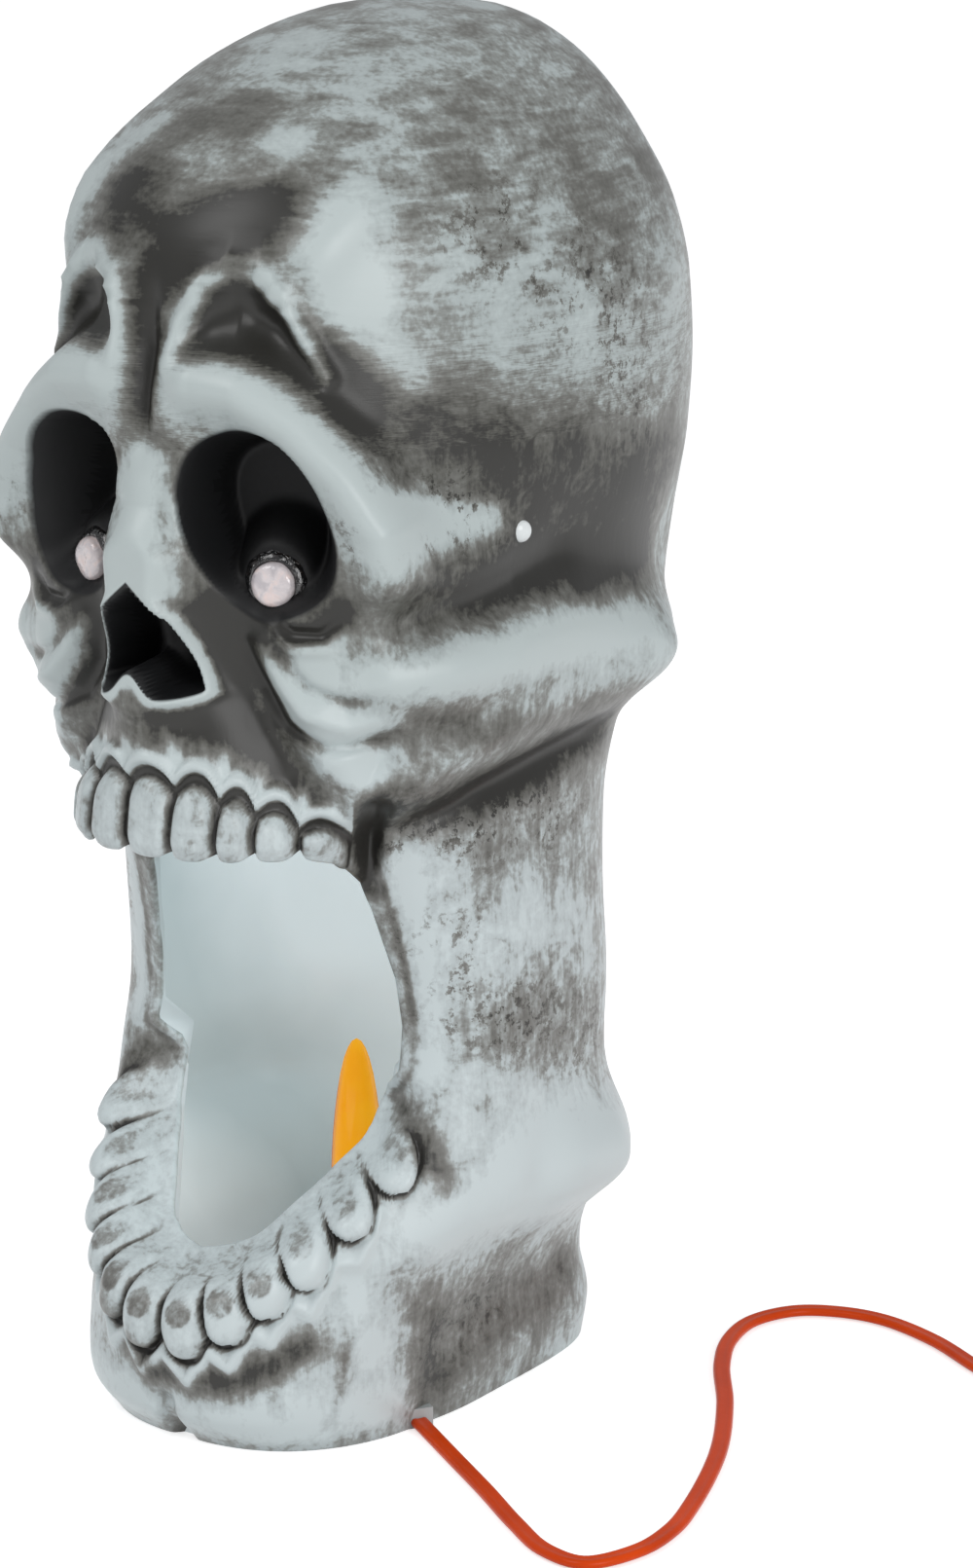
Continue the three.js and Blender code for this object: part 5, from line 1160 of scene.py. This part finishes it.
# Glue round the lamp, run in lumps
def make_glue(name, side):
    inner, outer, high = EYE["head"] + BEAD["gap"], BEAD["radius"], BEAD["high"]
    profile = [(inner, FOOTING), (outer, FOOTING)]
    profile += [(outer * across, high * up) for across, up in BEAD_SHARES]
    profile += [(inner, high * BEAD["inner_share"]), (inner, FOOTING)]
    bm = turned(profile, steps=96)
    for vert in bm.verts:
        level = lump(math.atan2(vert.co.y, vert.co.x), side)
        reach = vert.co.xy.length
        if reach > inner + BEAD["free"]:
            pull = (reach - inner) * (1 - level) * BEAD["pull"] / reach
            vert.co.x -= vert.co.x * pull
            vert.co.y -= vert.co.y * pull
        if vert.co.z > BEAD["foot"]:
            vert.co.z *= BEAD["least"] + (1 - BEAD["least"]) * level
    bmesh.ops.transform(bm, matrix=outwards(side * EYE["angle"], EYE["z"], LAMP_REACH), verts=bm.verts)
    shade(bm, BEAD_SHARP)
    finish(name, bm, [GLUE], ("eye_glue_" + name.split("_")[-1],))


# The temples' rivets: smooth white heads on shanks that taper at the tip
def make_rivet(name, side):
    head, length, shank, back = RIVET["head"], RIVET["head_length"], RIVET["shank"], -RIVET["shank_length"]
    profile = [(0, back), (shank * RIVET["tip_share"], back), (shank, RIVET["taper"] + back),
               (shank, FOOTING), (head, FOOTING)]
    for degrees in range(0, 90, 15):
        turn = math.radians(degrees)
        profile.append((head * math.cos(turn), RIVET["rim"] + (length - RIVET["rim"]) * math.sin(turn)))
    bm = turned([*profile, (0, length)], steps=40)
    angle = math.radians(RIVET["angle"])
    reach = float(plain_radius(np.float64(angle), RIVET["z"]))
    reach += float(surface_facts(np.array([angle]), np.array([RIVET["z"]]))[0][0])
    place = outwards(side * RIVET["angle"], RIVET["z"], reach - RIVET["sink"])
    bmesh.ops.transform(bm, matrix=place, verts=bm.verts)
    shade(bm)
    finish(name, bm, [RIVET_FINISH], ("temple_pin_" + name.split("_")[-1],))


for side, word in ((1, "left"), (-1, "right")):
    make_eye_lens("eye_lens_" + word, side)
    make_glue("eye_bead_" + word, side)
    make_rivet("temple_rivet_" + word, side)

# Flame lens, and its outline: [share of the radius, share of the height]
FLAME = dict(y=-9.975, foot=31.1, radius=7.4, length=59.0, wall=1.1, tip=2.4, fin=0.35, fin_angle=35,
             fin_width=0.06, fin_from=0.5)
FLAME_SHARES = [
    (0.9, 0), (0.94, 0.006), (0.955, 0.03), (0.98, 0.07), (1, 0.13), (1, 0.22), (0.995, 0.32),
    (0.965, 0.43), (0.91, 0.54), (0.83, 0.64), (0.725, 0.74), (0.6, 0.83), (0.45, 0.905), (0.3, 0.955),
    (0.14, 0.987), (0, 1),
]
FLAME_SHARP = math.radians(60)


# A shell that narrows to its tip, with the flash of its two halves standing on it
def make_flame():
    radius, length, wall = FLAME["radius"], FLAME["length"], FLAME["wall"]
    outer = [((radius - FLAME["fin"]) * across, length * up) for across, up in FLAME_SHARES]
    top = length - FLAME["tip"] * wall
    inner = [(reach - wall, min(height, top)) for reach, height in outer[:-1] if reach > wall]
    bm = turned([(0, top), *inner[::-1], *outer], steps=64)
    fin_turn = math.radians(FLAME["fin_angle"])
    for vert in bm.verts:
        turn = math.atan2(vert.co.y, vert.co.x)
        reach = vert.co.xy.length
        if reach > FLAME["fin_from"]:
            parting = math.exp(-(math.sin(turn - fin_turn) / FLAME["fin_width"]) ** 2)
            spare = 1 + FLAME["fin"] * parting / reach
            vert.co.x *= spare
            vert.co.y *= spare
    bmesh.ops.translate(bm, vec=(0, FLAME["y"], FLAME["foot"]), verts=bm.verts)
    shade(bm, FLAME_SHARP)
    finish("flame", bm, [FLAME_FINISH], ("flame_lens",), body="lens")


make_flame()

# Green leads and the cord's inner end, along the routes of the CAD
LEAD_RADIUS = 1.2
LEAD_TIE = 3 * LEAD_RADIUS
LEAD_SHARES = [(74, 0.555), (84, 0.42), (88, 0.3), (96, 0.14)]
LEAD_INSET = 12.1
# How many lead radii further in the left and the right lead run
LEAD_LANES = {1: 3, -1: 7}
HOLDER_BACK = 18.3
BLOCK = dict(y=24.045, z=9.8, front=16.245, back=31.845)
# Where a lead leaves the flame's post
POST_BACK = (0, -1.275, 10.4)


def make_lead(name, points):
    line = through_points(points, ROUTE_STEP)
    finish(name.replace("lead", "wire"), tube(line, round_section(LEAD_RADIUS), level=False),
           [GREEN_PVC], (name,))


# Out of the lamp's holder, over to the left wall and down to its terminal
def make_eye_lead(name, side, entry):
    degrees = side * EYE["angle"]
    seat = outwards(degrees, EYE["z"], SOCKET_FLOOR - SOCKET["lamp_sink"])
    start = seat @ Vector((0, 0, -HOLDER_BACK))
    turn = math.radians(degrees)
    stub = start + Vector((-math.sin(turn), math.cos(turn), 0)) * LEAD_TIE
    points = [start, stub]
    if side < 0:
        points.append(Vector((0, stub.y + SOCKET["depth"], EYE["z"] + SOCKET["short"])))
    inset = LEAD_INSET + LEAD_LANES[side] * LEAD_RADIUS
    points += [on_plain(math.radians(angle), HEIGHT * share, -inset) for angle, share in LEAD_SHARES]
    last = Vector(entry) + Vector((0, LEAD_TIE, 0))
    points += [last + Vector((1.5 * LEAD_RADIUS, 4 * LEAD_RADIUS, LEAD_RADIUS)), last, entry]
    make_lead(name, points)


make_eye_lead("eye_lead_left", 1, (10, BLOCK["back"], BLOCK["z"]))
make_eye_lead("eye_lead_right", -1, (0, BLOCK["back"], BLOCK["z"]))
make_lead("flame_lead", [
    POST_BACK, (0, POST_BACK[1] + 2 * LEAD_RADIUS, POST_BACK[2]),
    (0, BLOCK["front"] - 2 * LEAD_RADIUS, BLOCK["z"]), (0, BLOCK["front"], BLOCK["z"]),
])

# The cord's inner end: where it passes the rim and how far in it starts, then its bend and its terminals
RIM = dict(place=(47.7, -47.15, 7.3), heading=56.4 - 90, inward=20.6)
INNER_BEND = (24.9, 9.645, 7.3)
INNER_END = (15.3, BLOCK["y"], 9.5)


def make_inner_cord():
    turn = math.radians(RIM["heading"])
    heading = np.array([math.cos(turn), math.sin(turn), 0])
    start = np.array(RIM["place"]) - heading * RIM["inward"]
    end = np.array(INNER_END)
    points = [start, start - heading * CORD_WIDTH, INNER_BEND, end + [CORD_WIDTH, 0, 0], end]
    line = through_points(points, ROUTE_STEP)
    finish("inner_cord_end", tube(line, cord_section()), [CORD_FINISH], ("inner_cord",))


make_inner_cord()

# Finishes of the CAD nodes that stay
KEPT = {
    "base_plate": BLACK_STYRENE, "flame_holder": BLACK_STYRENE, "eye_holder_": BLACK_STYRENE,
    "base_screw_": PLATED_STEEL, "terminal_screw_": PLATED_STEEL, "terminal_block": NATURAL_NYLON,
    "flame_lamp": GLASS, "plug_fuse_left": GLASS, "plug_fuse_right": GLASS, "cord_grommet": GREY_RUBBER,
    "coil_tie": TIE_PVC, "plug_body": PLUG_PVC, "plug_fuse_door": PLUG_PVC, "plug_blade_": ROLLED_BRASS,
}
for name, kept_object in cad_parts.items():
    for start, made in KEPT.items():
        if name.startswith(start):
            for slot in kept_object.material_slots:
                slot.material = made


# Light and floor, in metres and watts
LIGHT_SIZE = 0.9
LIGHT_TARGET = Vector((0, 0, 0.2))
KEY_PLACE, KEY_POWER = Vector((-0.3, -1.2, 1.6)), 8.5
FILL_PLACE, FILL_POWER = Vector((1.5, -0.6, 0.7)), 9.5
FLOOR_REACH = 20.0


def area_light(name, place, power):
    data = bpy.data.lights.new(name, "AREA")
    data.shape, data.size, data.energy = "DISK", LIGHT_SIZE, power
    light = bpy.data.objects.new(name, data)
    light.location = place
    light.rotation_euler = (LIGHT_TARGET - place).to_track_quat("-Z", "Y").to_euler()
    bpy.context.scene.collection.objects.link(light)


# Pale paper, which shows white to the camera and in reflections, and keeps the shadow. Its fibres are
# drawn coarser than real ones.
def pale_paper(tree):
    place = node(tree, "TexCoord", output="Object")
    fibres = node(tree, "TexNoise", {"Vector": place, "Scale": 1 / (3 * MM), "Detail": 3})
    colour = node(tree, "ValToRGB", {"Fac": fibres}, stops=[(0.3, "#ebebeb"), (0.7, "#eeeeee")])
    rays = node(tree, "LightPath", output="Is Camera Ray").node.outputs
    seen = node(tree, "Math", {0: rays["Is Camera Ray"], 1: rays["Is Glossy Ray"]}, operation="MAXIMUM")
    seen = node(tree, "Math", {0: seen, 1: rays["Is Transmission Ray"]}, operation="MAXIMUM")
    strength = node(tree, "Math", {0: seen, 1: 0.62}, operation="MULTIPLY")
    paper = node(tree, "BsdfDiffuse", {"Color": colour})
    glow = node(tree, "Emission", {"Color": linear("#ffffff"), "Strength": strength})
    return node(tree, "AddShader", {0: paper, 1: glow})


def make_floor():
    bm = bmesh.new()
    bmesh.ops.create_grid(bm, x_segments=1, y_segments=1, size=FLOOR_REACH)
    mesh = bpy.data.meshes.new("floor")
    bm.to_mesh(mesh)
    bm.free()
    mesh.materials.append(material("pale_paper", pale_paper))
    floor = bpy.data.objects.new("floor", mesh)
    bpy.context.scene.collection.objects.link(floor)


def make_world():
    world = bpy.data.worlds.new("studio")
    bpy.context.scene.world = world
    world.use_nodes = True
    tree = world.node_tree
    tree.nodes.clear()
    rays = node(tree, "LightPath", output="Is Camera Ray").node.outputs
    seen = node(tree, "Math", {0: rays["Is Camera Ray"], 1: rays["Is Transmission Ray"]}, operation="MAXIMUM")
    strength = node(tree, "Math", {0: seen, 1: 0.5, 2: 0.5}, operation="MULTIPLY_ADD")
    sky = node(tree, "Background", {"Color": linear("#fbfcff"), "Strength": strength})
    node(tree, "OutputWorld", {"Surface": sky})


make_floor()
make_world()
area_light("key", KEY_PLACE, KEY_POWER)
area_light("fill", FILL_PLACE, FILL_POWER)
bpy.context.scene.view_settings.view_transform = "Standard"
